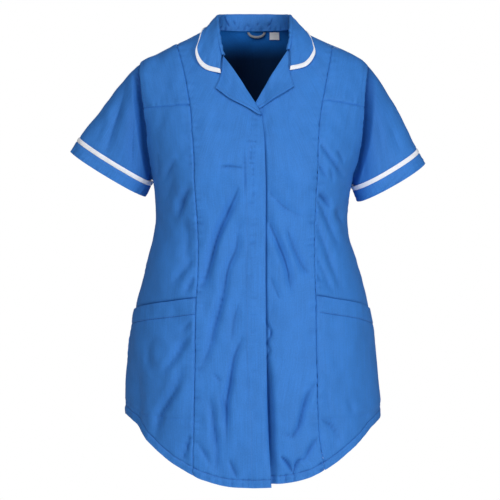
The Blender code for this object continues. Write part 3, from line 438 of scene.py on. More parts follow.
LEAST_FILL = 0.31  # least share of its rectangle that a cut is said to fill
MEET_ROUNDS = 30
PLACKET_LOW = -0.62  # lowest trace of the hidden fastening
PLACKET_BARS = (  # height of each stitched bar, its start and end from the edge
    (-0.436, 0.001, 0.027),
    (-0.577, 0.003, 0.030),
    (-0.231, 0.020, 0.052),
)
PLACKET_CREASES = (  # pressed creases: from the edge, depth, lowest height
    (0.0275, 0.0005, -0.33),
    (0.0205, 0.0009, -0.30),
)
PLACKET_TACK = (-0.005, -0.195)  # across and height of the tack at the top
THREAD_DENT = (0.0003, 0.0016)  # depth and width of a light row of stitches
FOLDED_EDGE = (0.0007, 0.0012)  # of the rounding at the over front's folded edge
BAR_DENT = (0.0003, 0.0020)  # of a stitched bar
CREASE_WIDTH = 0.0014
PLACKET_RISE = 0.00025  # the folded facing lifts the cloth this much
LADDER = (0.00040, 0.022, 0.008)  # height, place and width of the ripples over the buttonholes
LADDER_LOW = -0.60
LADDER_LENGTH = 0.011
LADDER_SLANT = 0.15  # how little they change across
CREASE_TOP = (-0.192, 0.004)  # where the creases end above, and over which length
CREASE_FADE = 0.05  # over which they end below
TACK_SIZE = (0.0009, 0.006, 0.004)  # depth, half width and half height of its dimple
LAPEL_LIFT = 0.0024  # the lapels lie this far off the fronts
LAPEL_ROLL = 0.0020  # radius of their fold
LAPEL_RISE = 0.0016  # its middle lies this far off the front
LAPEL_ROOT = (0.0012, 0.010)  # more lift beside the fold, and its width
LAPEL_SETTLE = (0.6, 0.65, 0.3)  # less lift low on the left lapel: share, start and length
LAPEL_WAVE = (0.0003, 0.020)  # height and length of its unevenness
LAPEL_DENT = (0.0002, 0.001)  # of the row beside its free edge
CUFF_STITCH = 0.0165  # row of stitches from a cuff's end
COLLAR_STITCH = 0.0015  # and from the collar's binding
BINDING_STEP = 0.0016  # the weave runs on this far from one point of the binding's section to the next
BINDING_PROFILE = (  # section of the binding: share of its width, and of its lift
    (0.0, 0.55), (0.04, 0.95), (0.3, 1.05), (0.7, 1.05), (0.93, 0.9), (1.03, 0.4),
    (1.03, -0.4), (0.93, -0.9), (0.5, -1.0), (0.04, -0.9), (0.0, -0.55),
)
EDGE_STITCH = 0.0045  # row of stitches from a lapel's free edge

STITCH_LENGTH = 0.0024
STITCH_SPACE = 0.0008
STITCH_RADIUS = 0.00022
STITCH_SHARES = (0.0, 0.18, 0.82, 1.0)  # places along one thread
STITCH_GIRTHS = (0.25, 1.0, 1.0, 0.25)  # its thickness there, and its height over the cloth
STITCH_HEIGHTS = (-0.4, 0.9, 0.9, -0.4)
STITCH_SIDES = 5
STITCH_FLAT = 0.7  # height of a thread's section, as a share of its width

# Rows close to the hem, at fixed distances from it, and counts between the other levels.
HEM_ROWS = (0.0, 0.0012, 0.0035, 0.0065, 0.0095, 0.0118, 0.0130, 0.0142, 0.0165, 0.0200)
CLOSE_ROWS = (-0.0032, -0.0012, 0.0, 0.0012, 0.0032)  # rows about a level that needs them
LEAST_STEP = 0.0006
RIDGE_REACH = 0.016  # the cloth lies smooth this near the shoulder's ridge
FRONT_ROWS = (24, 52, 8, 74, 46, 38)  # to pocket bottom, stitches, pocket top, underarm, yoke, top
FRONT_CLOSE = (False, True, True, False, True, False)
BACK_ROWS = (18, 42, 46, 48, 10)
POCKET_LOW_ROW = len(HEM_ROWS) - 1 + FRONT_ROWS[0]
POCKET_TOP_ROW = POCKET_LOW_ROW + sum(FRONT_ROWS[1:3]) + 6
UNDERARM_ROW = POCKET_TOP_ROW + 2 + FRONT_ROWS[3]
YOKE_ROW = UNDERARM_ROW + FRONT_ROWS[4] + 2
BACK_UNDERARM_ROW = len(HEM_ROWS) - 1 + sum(BACK_ROWS[:3])
EDGE_COLUMNS = (0.004, 0.014, 0.028)  # shares of a panel's width, close to its seams
OVER_COLUMNS = (30, 8, 18)
UNDER_COLUMNS = (12, 8, 14, 6, 16)
SIDE_COLUMNS = 42
COLUMNS_BACK_NECK = 20
SLEEVE_ROWS = 70
SLEEVE_CROWDING = 1.6  # more rows near the armhole
CUFF_ROWS = 9
TRIM_ROWS = 5
COLLAR_COLUMNS = 120
COLLAR_FOLD_ROWS = 9
COLLAR_FALL_ROWS = 16
STAND_ROWS = 14
STAND_HEIGHT = 0.030
STAND_TUCK = -0.12  # the stand starts this much lower inside the neck, as a share of it
LAPEL_ROWS = (14, 46)
LAPEL_COLUMNS = 26
LAPEL_FOLD_ROWS = 6
LAPEL_STAND = 0.0028  # the lapels' free edges stand off this much more
LAPEL_STAND_REACH = 0.014
CURVE_STEPS = 400
SLEEVE_STEPS = 120
SEEK_HEM = -0.72
SEEK_TOP = -0.06
CORNER_SLACK = 0.0005
SHARP_ANGLE = 50
TINY = 1e-9

NARROWEST_CUT = 0.0101  # least size that a cut can be declared with

LOOP_MIDDLE = 0.008
LOOP_HALF = 0.016
LOOP_DROP = 0.010
LOOP_WIDTH = 0.004
LOOP_TOP = 0.003
LOOP_STEPS = (48, 8)  # steps along and across it
LOOP_GAP = 0.0003  # from the back's wall
LOOP_BULGE = 0.0012
LOOP_SHELL = 0.0008
LABEL_ACROSS = (0.031, 0.048)
LABEL_HEIGHTS = (0.003, -0.009)
LABEL_POINTS = (19, 15)
LABEL_GAP = 0.0006
LABEL_WAVE = (0.0004, 0.012)  # height and length of its unevenness
LABEL_SHELL = 0.0004


def hermite(t, start, start_slope, end, end_slope):
    """Cubic curve from a start to an end with the slopes there, t from 0 to 1."""
    return (
        (2 * t**3 - 3 * t**2 + 1) * start
        + (t**3 - 2 * t**2 + t) * start_slope
        + (3 * t**2 - 2 * t**3) * end
        + (t**3 - t**2) * end_slope
    )


def smooth_curve(places, values, at):
    """Follow the values smoothly between their places, without overshooting them."""
    places = np.asarray(places, float)
    values = np.asarray(values, float)
    at = np.clip(np.asarray(at, float), places[0], places[-1])
    step = np.diff(places).reshape(-1, *([1] * (values.ndim - 1)))
    slope = np.diff(values, axis=0) / step
    before, after = slope[:-1], slope[1:]
    same_way = before * after > 0
    total = np.where(same_way, before + after, 1.0)
    inner = np.where(same_way, 2 * before * after / total, 0.0)
    tangent = np.concatenate([slope[:1], inner, slope[-1:]])
    low = np.clip(np.searchsorted(places, at) - 1, 0, len(places) - 2)
    width = places[low + 1] - places[low]
    t = (at - places[low]) / width
    if values.ndim > 1:
        t, width = t[..., None], width[..., None]
    return hermite(t, values[low], width * tangent[low], values[low + 1], width * tangent[low + 1])


def column_of(rows, name):
    """One named column of a table, as a list."""
    return [getattr(row, name) for row in rows]


def follow(rows, name, at, by="height"):
    """One column of a table as a smooth curve over another."""
    return smooth_curve(column_of(rows, by), column_of(rows, name), at)


def bell(distance, width):
    """One in the middle, dying away smoothly over a width."""
    return np.exp(-((distance / width) ** 2))


def ease(distance, width):
    """Smooth step from 0 to 1 over a width."""
    share = np.clip(distance / width, 0, 1)
    return share * share * (3 - 2 * share)


def section_at(z, side, face):
    """Half width and depth of the body's section at a height."""
    return follow(BODY, SIDE_NAMES[side], z), follow(BODY, FACE_NAMES[face], z)


def across_from_turn(turn, z, side, face):
    """Distance from the centre line after turning from the centre (0) towards the side (pi/2)."""
    width, _ = section_at(z, side, face)
    return width * np.sin(turn) ** (2 / SECTION_POWER)


def turn_from_across(x, z, side, face):
    """The turn at which the section lies a distance x from the centre line."""
    width, _ = section_at(z, side, face)
    share = np.clip(np.abs(x) / width, 0, 1)
    return np.arcsin(share ** (SECTION_POWER / 2))


def body_point(x, z, side, face):
    """Point of the plain body, x from the centre line at height z."""
    width, depth = section_at(z, side, face)
    share = np.clip(np.abs(x) / width, 0, 1)
    y = depth * (1 - share**SECTION_POWER) ** (1 / SECTION_POWER)
    return np.stack([x, face * y, z + 0 * x], axis=-1)


def body_normal(points, side, face):
    """Outward direction of the plain body, from the slopes of its implicit section."""
    x, y, z = points[..., 0], points[..., 1], points[..., 2]
    nudge = 0.004
    width, depth = section_at(z, side, face)
    above, below = section_at(z + nudge, side, face), section_at(z - nudge, side, face)
    width_slope, depth_slope = ((high - low) / (2 * nudge) for high, low in zip(above, below))
    across, along = np.abs(x) / width, np.abs(y) / depth
    power = SECTION_POWER
    outward = np.sign(x) * across ** (power - 1) / width
    forward = face * along ** (power - 1) / depth
    upward = -(across**power) * width_slope / width - along**power * depth_slope / depth
    return unit(np.stack([outward, forward, upward], axis=-1))


def raised(points, normals, relief):
    """Points moved out along their normals by a relief."""
    return points + normals * relief[..., None]


def clear_of_body(points, lift):
    """Move points below the neck seam out until they are at least lift outside the plain body."""
    moved = points.copy()
    for side, face in ((RIGHT, FRONT), (RIGHT, BACK), (LEFT, FRONT), (LEFT, BACK)):
        chosen = ((points[..., 0] >= 0) == (side == LEFT)) & ((points[..., 1] >= 0) == (face == BACK))
        part = points[chosen]
        width, depth = section_at(part[:, 2], side, face)
        across, along = np.abs(part[:, 0]) / width, np.abs(part[:, 1]) / depth
        reach = (across**SECTION_POWER + along**SECTION_POWER) ** (1 / SECTION_POWER)
        distance = (reach - 1) * np.hypot(part[:, 0], part[:, 1]) / reach
        normals = body_normal(part, side, face)
        flat = np.hypot(normals[:, 0], normals[:, 1])
        moved[chosen] = raised(part, normals, np.maximum(lift - distance * flat, 0))
    start, height = NECK_FADE
    over_neck = np.clip((points[..., 2:] - NECK_HEIGHT + start) / height, 0, 1)
    return moved + (points - moved) * over_neck


def lap_edge(z):
    """Distance of the over front's open edge from the centre line."""
    return follow(LAP_EDGE, "across", z)


def lap_relief(x, z):
    """The under front passes inside the over front and comes out beside its edge."""
    return -LAP_STEP * (1 - ease(x - lap_edge(z) - LAP_COVER, LAP_RISE))


def princess_seam(z, side):
    """Distance of the princess seam from the centre line."""
    return follow(PRINCESS, SIDE_NAMES[side], z)


def hem_height(x):
    """Height of the hem at a distance from the centre line."""
    return follow(HEM, "height", np.abs(x - HEM_MIDDLE), by="across")


def roll_height(x, side):
    """Height of the roll line and neck seam at a place across one front."""
    return follow(sorted(ROLL_LINES[side]), "height", x, by="across")


def shoulder_height(x, side):
    """Height of the shoulder seam, where a section is as wide as the distance x."""
    heights = np.linspace(SHOULDER_END, NECK_HEIGHT, CURVE_STEPS)
    widths, _ = section_at(heights, side, FRONT)
    return np.interp(np.abs(x), widths[::-1], heights[::-1])


def armhole_turn(z, side, face):
    """Turn at which a section reaches the armhole, or the side seam below it."""
    hole = ARMHOLES[side]
    _, depth = section_at(z, side, face)
    reach = ARMHOLE_FRONT if face == FRONT else ARMHOLE_BACK
    middle = (hole.top + hole.bottom) / 2
    half = (hole.top - hole.bottom) / 2
    off = np.clip(np.abs(z - middle) / half, 0, 1)
    y = reach * (1 - off**ARMHOLE_POWER) ** (1 / ARMHOLE_POWER)
    y = np.where(off > 1 - TINY, 0, y)
    return np.arccos(np.clip(y / depth, 0, 1) ** (SECTION_POWER / 2))


def side_column(share, side, face, z, inner):
    """Distance across of a column between an inner line and the armhole or side seam."""
    top = ARMHOLES[side].top
    low = np.minimum(z, top)
    start = turn_from_across(inner(low), low, side, face)
    turn = start + share * (armhole_turn(low, side, face) - start)
    x = across_from_turn(turn, low, side, face)
    drift = inner(z) - inner(low)
    return x + drift * (1 - share)


def heights_between(bottom, chest, top):
    """Heights from a column's bottom to its top, close together at the underarm and the top."""
    low = np.linspace(bottom, chest, CURVE_STEPS)[:-1]
    high = chest + (top - chest) * (1 - np.cos(np.linspace(0, math.pi, CURVE_STEPS))) / 2
    return np.concatenate([low, high])


def meet(outline, across, start):
    """Height at which a column meets an outline."""
    z = start
    for _ in range(MEET_ROUNDS):
        z = 0.5 * z + 0.5 * float(outline(across(np.array([z]))[0]))
    return z


def along_path(points, length, marks):
    """Points of a path at the given lengths along it."""
    return np.stack([np.interp(marks, length, points[:, axis]) for axis in range(3)], axis=-1)


def evenly(knots, counts):
    """Values in even steps between the knots, each knot kept."""
    values = [np.array(knots[:1])]
    for low, high, count in zip(knots[:-1], knots[1:], counts):
        values.append(np.linspace(low, high, count + 1)[1:])
    return np.concatenate(values)


def grid_normals(points, closed=False):
    """Normals of a free grid, from the steps along its rows and columns."""
    down = np.gradient(points, axis=0)
    if closed:
        across = np.roll(points, -1, axis=1) - np.roll(points, 1, axis=1)
    else:
        across = np.gradient(points, axis=1)
    return unit(np.cross(across, down))


def column_points(across, bottom, top, side, face, ridge=False):
    """Fine points of a column from its bottom to its top, which may be the shoulder's ridge."""
    z = heights_between(bottom, ARMHOLES[side].bottom, top)
    points = body_point(across(z), z, side, face)
    if ridge:
        points[-1, 1] = 0.0
    return points


def shares_along(points):
    """Share of a path's length at each of its points."""
    length = running_length(points)
    return length / length[-1]


def side_bottom(side):
    """Height of the hem at a side seam."""
    return float(hem_height(side * HEM[-1].across))


def part_way(share, first, last):
    """Value a share of the way from the first to the last."""
    return first + share * (last - first)


def unit(vectors):
    """Vectors of length one."""
    return vectors / np.linalg.norm(vectors, axis=-1, keepdims=True)


def armhole_loop(front_edge, back_edge):
    """Sewn points, normals, plain points and turns round an armhole: down the front, up the back."""
    rings = [np.concatenate([front[::-1], back[1:-1]]) for front, back in zip(front_edge, back_edge)]
    front_turns = math.pi * shares_along(front_edge[-1][::-1])[:-1]
    back_turns = math.pi + math.pi * shares_along(back_edge[-1])[:-1]
    return (*rings, np.concatenate([front_turns, back_turns]))


def sleeve_hem_loop(side, turns):
    """Points of a sleeve's hem: turn 0 is its outer end, then front, inner end and back."""
    hem = SLEEVE_HEMS[side]
    outer = np.array([side * hem.outer_x, 0, hem.outer_z])
    inner = np.array([side * hem.inner_x, 0, hem.inner_z])
    middle = (outer + inner) / 2
    forward = np.array([0, -SLEEVE_DEPTH, -SLEEVE_LEAN[side]])
    return middle + np.cos(turns)[:, None] * (outer - middle) + np.sin(turns)[:, None] * forward


def sleeve_paths(side, loop, turns):
    """Fine paths from the armhole to the sleeve's hem, springing outward at the shoulder."""
    hem = sleeve_hem_loop(side, turns)
    ends = SLEEVE_HEMS[side]
    axis = np.array([side * (ends.outer_z - ends.inner_z), 0, ends.inner_x - ends.outer_x])
    reach = np.linalg.norm(hem - loop, axis=1, keepdims=True)
    away = (hem - loop) / reach
    spring_x = np.full(len(turns), side * SLEEVE_SPRING[side])
    spring = np.stack([spring_x, -SLEEVE_SPREAD * np.sin(turns), 0 * turns], axis=-1)
    start_way = unit(away + spring * (0.5 + 0.5 * np.cos(turns))[:, None])
    end_way = unit(away + unit(axis))
    t = np.linspace(0, 1, SLEEVE_STEPS + 1)[:, None, None]
    return hermite(t, loop, reach * start_way, hem, reach * end_way)


def rows_between(paths, lengths, starts, stops, rows, crowding=1.0):
    """Rows of values between two lengths along every path, more of them near the start if crowded."""
    marks = starts + np.linspace(0, 1, rows + 1)[:, None] ** crowding * (stops - starts)
    columns = [along_path(paths[:, j], lengths[:, j], marks[:, j]) for j in range(paths.shape[1])]
    return np.stack(columns, axis=1)


def collar_ribs():
    """Neck seam, crest and outer edge of the collar, from the right gorge round to the left."""
    right, left = COLLAR_RIBS[RIGHT], COLLAR_RIBS[LEFT][-2::-1]
    places = column_of(right, "along") + [2 - place for place in column_of(left, "along")]
    ways = np.array([RIGHT] * len(right) + [LEFT] * len(left))
    at = np.linspace(0, 2, 2 * COLLAR_COLUMNS + 1)
    curves = []
    for part in ("seam", "roll", "edge"):
        values = np.array([[getattr(row, f"{part}_{axis}") for axis in "xyz"] for row in right + left])
        values[:, 0] *= ways
        curves.append(smooth_curve(places, values, at))
    return curves


def running_length(points, axis=0):
    """Length along a path, or along a grid's columns (axis 0) or rows (axis 1), up to each point."""
    steps = np.linalg.norm(np.diff(points, axis=axis), axis=-1)
    nothing = np.zeros_like(np.take(steps, [0], axis=axis))
    return np.cumsum(np.concatenate([nothing, steps], axis=axis), axis=axis)


def smooth_path(fold):
    """The trough of a fold as a fine smooth line, beside the shaded flank that the tables give."""
    path = fold.path + fold.half_width * np.array(TROUGH_OFFSET)
    length = running_length(path)
    return smooth_curve(length, path, np.linspace(0, length[-1], PATH_STEPS + 1))


def nearest_place(path, x, z):
    """Distance from a path, and the share of its steps up to the nearest point."""
    nearest = np.full(x.shape, np.inf)
    place = np.zeros(x.shape)
    for i, (start, end) in enumerate(zip(path[:-1], path[1:])):
        run = end - start
        share = np.clip(((x - start[0]) * run[0] + (z - start[1]) * run[1]) / (run @ run), 0, 1)
        distance = np.hypot(x - start[0] - share * run[0], z - start[1] - share * run[1])
        closer = distance < nearest
        nearest = np.where(closer, distance, nearest)
        place = np.where(closer, (i + share) / PATH_STEPS, place)
    return nearest, place


def fold_relief(rows, x, z):
    """How far the folds sink the cloth at a place, with low banks on both sides."""
    relief = np.zeros(np.broadcast(x, z).shape)
    for fold in rows:
        path = smooth_path(fold)
        margin = 3 * fold.half_width
        low, high = path.min(axis=0) - margin, path.max(axis=0) + margin
        near = (x > low[0]) & (x < high[0]) & (z > low[1]) & (z < high[1])
        if not near.any():
            continue
        nearest, place = nearest_place(path, x[near], z[near])
        fade = np.sin(math.pi * np.clip(place, FOLD_END, 1 - FOLD_END)) ** FOLD_FADE
        spread = nearest / fold.half_width
        soft = (1 - FOLD_BANKS * spread**2) * bell(spread, 1)
        shape = soft + FOLD_CREASE * (np.exp(-CREASE_STEEP * spread) - soft)
        relief[near] -= FOLD_STRENGTH * fold.depth * fade * shape
    return relief


def ripple(x, z, seed, length, upright=0.45, waves=12):
    """Smooth uneven waves about one unit high, longer up and down than across."""
    rng = np.random.default_rng(seed)
    total = np.zeros(np.broadcast(x, z).shape)
    for _ in range(waves):
        way = rng.uniform(0, 2 * math.pi)
        number = 2 * math.pi / (length * rng.uniform(*WAVE_SPREAD))
        phase = rng.uniform(0, 2 * math.pi)
        total += np.sin(number * (x * math.cos(way) + z * upright * math.sin(way)) + phase)
    return total / math.sqrt(waves / 2)


def dent(distance, place, depth=STITCH_DENT, width=STITCH_DENT_WIDTH):
    """The trough that a row of stitches pulls at a distance from an edge."""
    return -depth * bell(distance - place, width)


def soft_step(distance, band):
    """A turned band's extra thickness, up to its width from the edge."""
    return BAND_RISE * 0.5 * (1 - np.tanh((distance - band) / BAND_EDGE))


def seam_dip(distance):
    """The cloth dips into a seam at its edge."""
    return -SEAM_DROP * bell(distance, SEAM_SOFT)


def pucker(distance, along, seed, height=PUCKER, reach=PUCKER_REACH, length=PUCKER_LENGTH):
    """Short ripples beside a sewn edge, dying away from it."""
    return height * ripple(along, np.zeros_like(along), seed, length) * bell(distance, reach)


def hem_relief(from_hem, across, seed):
    """A turned hem: a thicker band, its row of stitches and ripples between them."""
    waves = ripple(across, HEM_WAVE_SLANT * from_hem, seed, HEM_WAVE_LENGTH)
    band = soft_step(from_hem, HEM_BAND) + dent(from_hem, HEM_BAND)
    most = HEM_WAVE_PLACE * HEM_BAND
    return band + HEM_WAVE_HEIGHT * PUCKER * waves * bell(from_hem - most, HEM_WAVE_REACH)


def drape_noise(x, z, seed):
    """Slow and quick unevenness of hanging cloth."""
    return sum(height * ripple(x, z, seed + i, length) for i, (height, length) in enumerate(DRAPE_WAVES))


def mound_relief(mounds, x, z):
    """Soft rounding of the cloth about some places."""
    relief = np.zeros(np.broadcast(x, z).shape)
    for mound in mounds:
        reach = ((x - mound.across) / mound.half_width) ** 2 + ((z - mound.height) / mound.half_height) ** 2
        relief += mound.rise * np.exp(-reach)
    return relief


def front_relief(rows, x, z):
    """Folds, bust and unevenness of the fronts."""
    return fold_relief(rows, x, z) + mound_relief(BUST, x, z) + drape_noise(x, z, seed=11)


def at_shoulder(relief, grid, from_hem):
    """A panel's relief, smooth near the shoulder's ridge, and lower on the right shoulder."""
    on_ridge = np.abs(grid[-1, :, 0]) >= NECK_HALF - CORNER_SLACK
    calm = 1 - on_ridge * bell(from_hem[-1:] - from_hem, RIDGE_REACH)
    return relief * calm + mound_relief(SHOULDER_SINKS, grid[..., 0], grid[..., 2])


def rows_by_level(points, levels, counts, close):
    """Points along a column: close rows at the hem and at some levels, even rows between."""
    length = running_length(points)
    marks = np.interp(levels, points[:, 2], length)
    places = list(marks[0] + np.array(HEM_ROWS))
    for level, count, is_close in zip(marks[1:], counts, close):
        reach = CLOSE_ROWS[-1] if is_close else 0.0
        level = max(level, places[-1] + reach + LEAST_STEP)
        places += list(np.linspace(places[-1], level - reach, count + 1)[1:])
        if is_close:
            places += [level + step for step in CLOSE_ROWS[1:]]
    return along_path(points, length, np.array(places))


def with_edges(places, first=True, last=True):
    """Column places with extra ones close to the panel's seams."""
    extra = list(EDGE_COLUMNS) if first else []
    extra += [1 - share for share in EDGE_COLUMNS] if last else []
    return np.unique(np.round(np.concatenate([places, extra]), 6))


def princess_column(side):
    """The princess seam from the hem to the shoulder seam, with its rows."""

    def across(z):
        return side * princess_seam(z, side)

    bottom = meet(hem_height, across, SEEK_HEM)
    top = meet(partial(shoulder_height, side=side), across, SEEK_TOP)
    points = column_points(across, bottom, top, side, FRONT, ridge=True)
    hole = ARMHOLES[side].bottom
    levels = [bottom, POCKET_BOTTOM, *pocket_top(0.0, side), hole, YOKE_HEIGHT[side][0], top]
    return rows_by_level(points, levels, FRONT_ROWS, FRONT_CLOSE)


def pocket_top(share, side):
    """Heights of the stitched line and of the top of a pocket, at a share of the panel's width."""
    top = part_way(share, POCKET_TOP[side], SIDE_LEVELS[1])
    return top - POCKET_BAND, top


def centre_column(side, across, chest_shares):
    """One column of a centre front, from the hem to the roll line, neck or shoulder seam."""
    bottom = meet(hem_height, across, SEEK_HEM)
    at_top = float(across(np.array([SHOULDER_END]))[0])
    ridge = abs(at_top) > NECK_HALF - CORNER_SLACK
    outline = shoulder_height if ridge else roll_height
    top = meet(partial(outline, side=side), across, SEEK_TOP)
    fine = column_points(across, bottom, top, side, FRONT, ridge)
    underarm = ARMHOLES[side].bottom
    levels = [bottom, POCKET_BOTTOM, *pocket_top(0.0, side), underarm]
    body = rows_by_level(fine, levels, FRONT_ROWS[:4], FRONT_CLOSE[:4])
    length = running_length(fine)
    chest_start = np.interp(underarm, fine[:, 2], length)
    marks = chest_start + chest_shares[1:] * (length[-1] - chest_start)
    return np.concatenate([body, along_path(fine, length, marks)])


def centre_columns(side, places, knot_across):
    """Columns of a centre front, from its open edge to the princess seam."""
    seam = princess_column(side)
    chest_shares = shares_along(seam[UNDERARM_ROW:])
    columns = [centre_column(side, partial(knot_across, place), chest_shares) for place in places[:-1]]
    return np.stack([*columns, seam], axis=1)


def over_front():
    """Grid of the wearer's right front, which laps over."""

    def across(place, z):
        edge = lap_edge(z)
        return edge + place * (-princess_seam(z, RIGHT) - edge)

    def place_of(x):
        z = float(roll_height(x, RIGHT))
        edge = float(lap_edge(z))
        return (x - edge) / (-float(princess_seam(z, RIGHT)) - edge)

    knots = [0.0, place_of(-GORGE[RIGHT]), place_of(-NECK_HALF), 1.0]
    return centre_columns(RIGHT, with_edges(evenly(knots, OVER_COLUMNS)), across)


def under_front():
    """Grid of the wearer's left front, which lies under the lap."""

    def across(place, z):
        edge = lap_edge(z)
        inside = edge + LAP_COVER
        outside = inside + LAP_RISE
        seam = princess_seam(z, LEFT)
        first, second = UNDER_SHARES
        low = UNDER_EDGE + (inside - UNDER_EDGE) * place / first
        middle = inside + (outside - inside) * (place - first) / (second - first)
        high = outside + (seam - outside) * (place - second) / (1 - second)
        return np.where(place < first, low, np.where(place < second, middle, high))

    def place_of(x):
        z = float(roll_height(x, LEFT))
        outside = float(lap_edge(z)) + LAP_COVER + LAP_RISE
        share = (x - outside) / (float(princess_seam(z, LEFT)) - outside)
        return UNDER_SHARES[1] + share * (1 - UNDER_SHARES[1])

    knots = [0.0, *UNDER_SHARES, place_of(GORGE[LEFT]), place_of(NECK_HALF), 1.0]
    return centre_columns(LEFT, with_edges(evenly(knots, UNDER_COLUMNS), first=False), across)


def side_front(side):
    """Grid of one side front, from the princess seam to the side seam and armhole."""
    inner = partial(princess_seam, side=side)
    columns = [princess_column(side)]
    for share in with_edges(np.linspace(0, 1, SIDE_COLUMNS + 1))[1:]:

        def across(z, share=share):
            return side * side_column(share, side, FRONT, z, inner)

        if share == 1:
            bottom, top = side_bottom(side), ARMHOLES[side].top
        else:
            bottom = meet(hem_height, across, SEEK_HEM)
            top = meet(partial(shoulder_height, side=side), across, SEEK_TOP)
        pocket = [part_way(share, POCKET_BOTTOM, SIDE_LEVELS[0]), *pocket_top(share, side)]
        yoke = part_way(share, *YOKE_HEIGHT[side])
        levels = [bottom, *pocket, ARMHOLES[side].bottom, yoke, top]
        points = column_points(across, bottom, top, side, FRONT, ridge=True)
        columns.append(rows_by_level(points, levels, FRONT_ROWS, FRONT_CLOSE))
    return np.stack(columns, axis=1)


def back_half(side, shoulder_tops):
    """Grid of one half of the back, from its middle to the side seam and armhole."""
    hole = ARMHOLES[side]
    width_top, _ = section_at(hole.top, side, BACK)
    neck_turns = np.linspace(0, math.pi / 2, COLUMNS_BACK_NECK + 1)[:-1]
    tops = [NECK_HALF * math.sin(turn) ** (2 / SECTION_POWER) for turn in neck_turns]
    tops += list(shoulder_tops)
    middle = (ARMHOLES[RIGHT].bottom + ARMHOLES[LEFT].bottom) / 2
    columns = []
    for place in tops:
        at_edge = place == tops[-1]
        share = 1.0 if at_edge else (place / float(width_top)) ** (SECTION_POWER / 2)
        whole = math.asin(share) / (math.pi / 2)

        def across(z, place=place, whole=whole):
            low = np.minimum(z, hole.top)
            x = across_from_turn(whole * armhole_turn(low, side, BACK), low, side, BACK)
            return side * np.where(z > hole.top, place, x)

        if at_edge:
            bottom, top = side_bottom(side), hole.top
        else:
            bottom = meet(hem_height, across, SEEK_HEM)
            top = NECK_HEIGHT if place < NECK_HALF else float(shoulder_height(place, side))
        chest = part_way(whole, middle, hole.bottom)
        levels = [bottom, *SIDE_LEVELS, chest, top - BACK_NECK_DROP, top]
        points = column_points(across, bottom, top, side, BACK, ridge=place >= NECK_HALF)
        columns.append(rows_by_level(points, levels, BACK_ROWS, (False,) * len(BACK_ROWS)))
    return np.stack(columns, axis=1)


def painted_hollow_shade(points, normals, closed):
    """How sharply a grid of cloth bends inwards at each place, 0 to 1: the share of painted shade in such
    hollows.
    """
    turned = np.nan_to_num(grid_normals(points, closed))
    turned = turned * np.sign((turned * normals).sum())
    if closed:
        points, turned = (np.concatenate([p[:, -1:], p, p[:, :1]], axis=1) for p in (points, turned))
    bend = np.zeros(points.shape[:2])
    for axis in (0, 1):
        run = np.gradient(points, axis=axis)
        turning = (np.gradient(turned, axis=axis) * run).sum(axis=-1)
        bend += turning / np.maximum((run * run).sum(axis=-1), TINY)
    if closed:
        bend = bend[:, 1:-1]
    return np.clip((-bend - HOLLOW_LEAST) / HOLLOW_MOST, 0, 1)


def link_object(name, data):
    """A new object in the scene."""
    thing = bpy.data.objects.new(name, data)
    bpy.context.scene.collection.objects.link(thing)
    return thing


def add_mesh(name, corners, faces, material, uv=None, hollow=None):
    """One object from corners and faces, shaded smooth, with its texture places in metres and its share of
    painted shade at each corner.
    """
    mesh = bpy.data.meshes.new(name)
    mesh.from_pydata(corners.tolist(), [], faces)
    # painted shade, stored for the material to darken the colour
    if hollow is not None:
        shades = mesh.attributes.new("hollow", "FLOAT", "POINT")
        shades.data.foreach_set("value", hollow.astype(np.float32))
    if uv is not None:
        layer = mesh.uv_layers.new(name="cloth")
        loops = np.empty(len(mesh.loops), dtype=np.int32)
        mesh.loops.foreach_get("vertex_index", loops)
        layer.data.foreach_set("uv", uv[loops].astype(np.float32).ravel())
    mesh.materials.append(material)
    mesh.shade_smooth()
    mesh.set_sharp_from_angle(angle=math.radians(SHARP_ANGLE))
    thing = link_object(name, mesh)
    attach(thing, "root")
    return thing


def grid_faces(rows, columns, closed, start=0, flip=False):
    """Four-sided faces over a grid of corners."""
    i = np.arange(rows - 1)[:, None]
    j = np.arange(columns if closed else columns - 1)[None, :]
    a = i * columns + j
    b = i * columns + (j + 1) % columns
    quads = np.stack([a, b, b + columns, a + columns], axis=-1).reshape(-1, 4) + start
    return quads[:, ::-1] if flip else quads


def rim_faces(ring, count, flip):
    """Faces that join the outer and inner edge along a ring of outer corners."""
    follow_on = np.roll(ring, -1)
    quads = np.stack([follow_on, ring, ring + count, follow_on + count], axis=-1)
    return quads[:, ::-1] if flip else quads


def add_shell(name, outer, normals, material, thickness=SHELL, closed=False, inner=None, shade=0.0):
    """Thin wall of cloth: an outer grid, the same grid a cloth's thickness inside it, and rims."""
    rows, columns = outer.shape[:2]
    count = rows * columns
    if inner is None:
        inner = outer - normals * thickness
    corners = np.concatenate([outer.reshape(-1, 3), inner.reshape(-1, 3)])
    row, column = rows // 2, columns // 3
    across = outer[row, column + 1] - outer[row, column]
    down = outer[row + 1, column] - outer[row, column]
    flip = np.dot(np.cross(across, down), normals[row, column]) < 0
    parts = [grid_faces(rows, columns, closed, 0, flip), grid_faces(rows, columns, closed, count, not flip)]
    index = np.arange(count).reshape(rows, columns)
    if closed:
        parts.append(rim_faces(index[0], count, flip))
        parts.append(rim_faces(index[-1], count, not flip))
    else:
        ring = np.concatenate([index[0], index[1:, -1], index[-1, -2::-1], index[-2:0:-1, 0]])
        parts.append(rim_faces(ring, count, flip))
    uv = np.stack([running_length(outer, 1), running_length(outer)], axis=-1)
    uv = np.tile(uv.reshape(-1, 2), (2, 1))
    # painted shade: darker where the cloth bends inwards, plus the painted shade given
    hollow = np.clip(painted_hollow_shade(outer, normals, closed) + shade, 0, 1)
    return add_mesh(name, corners, np.concatenate(parts).tolist(), material, uv, np.tile(hollow.ravel(), 2))


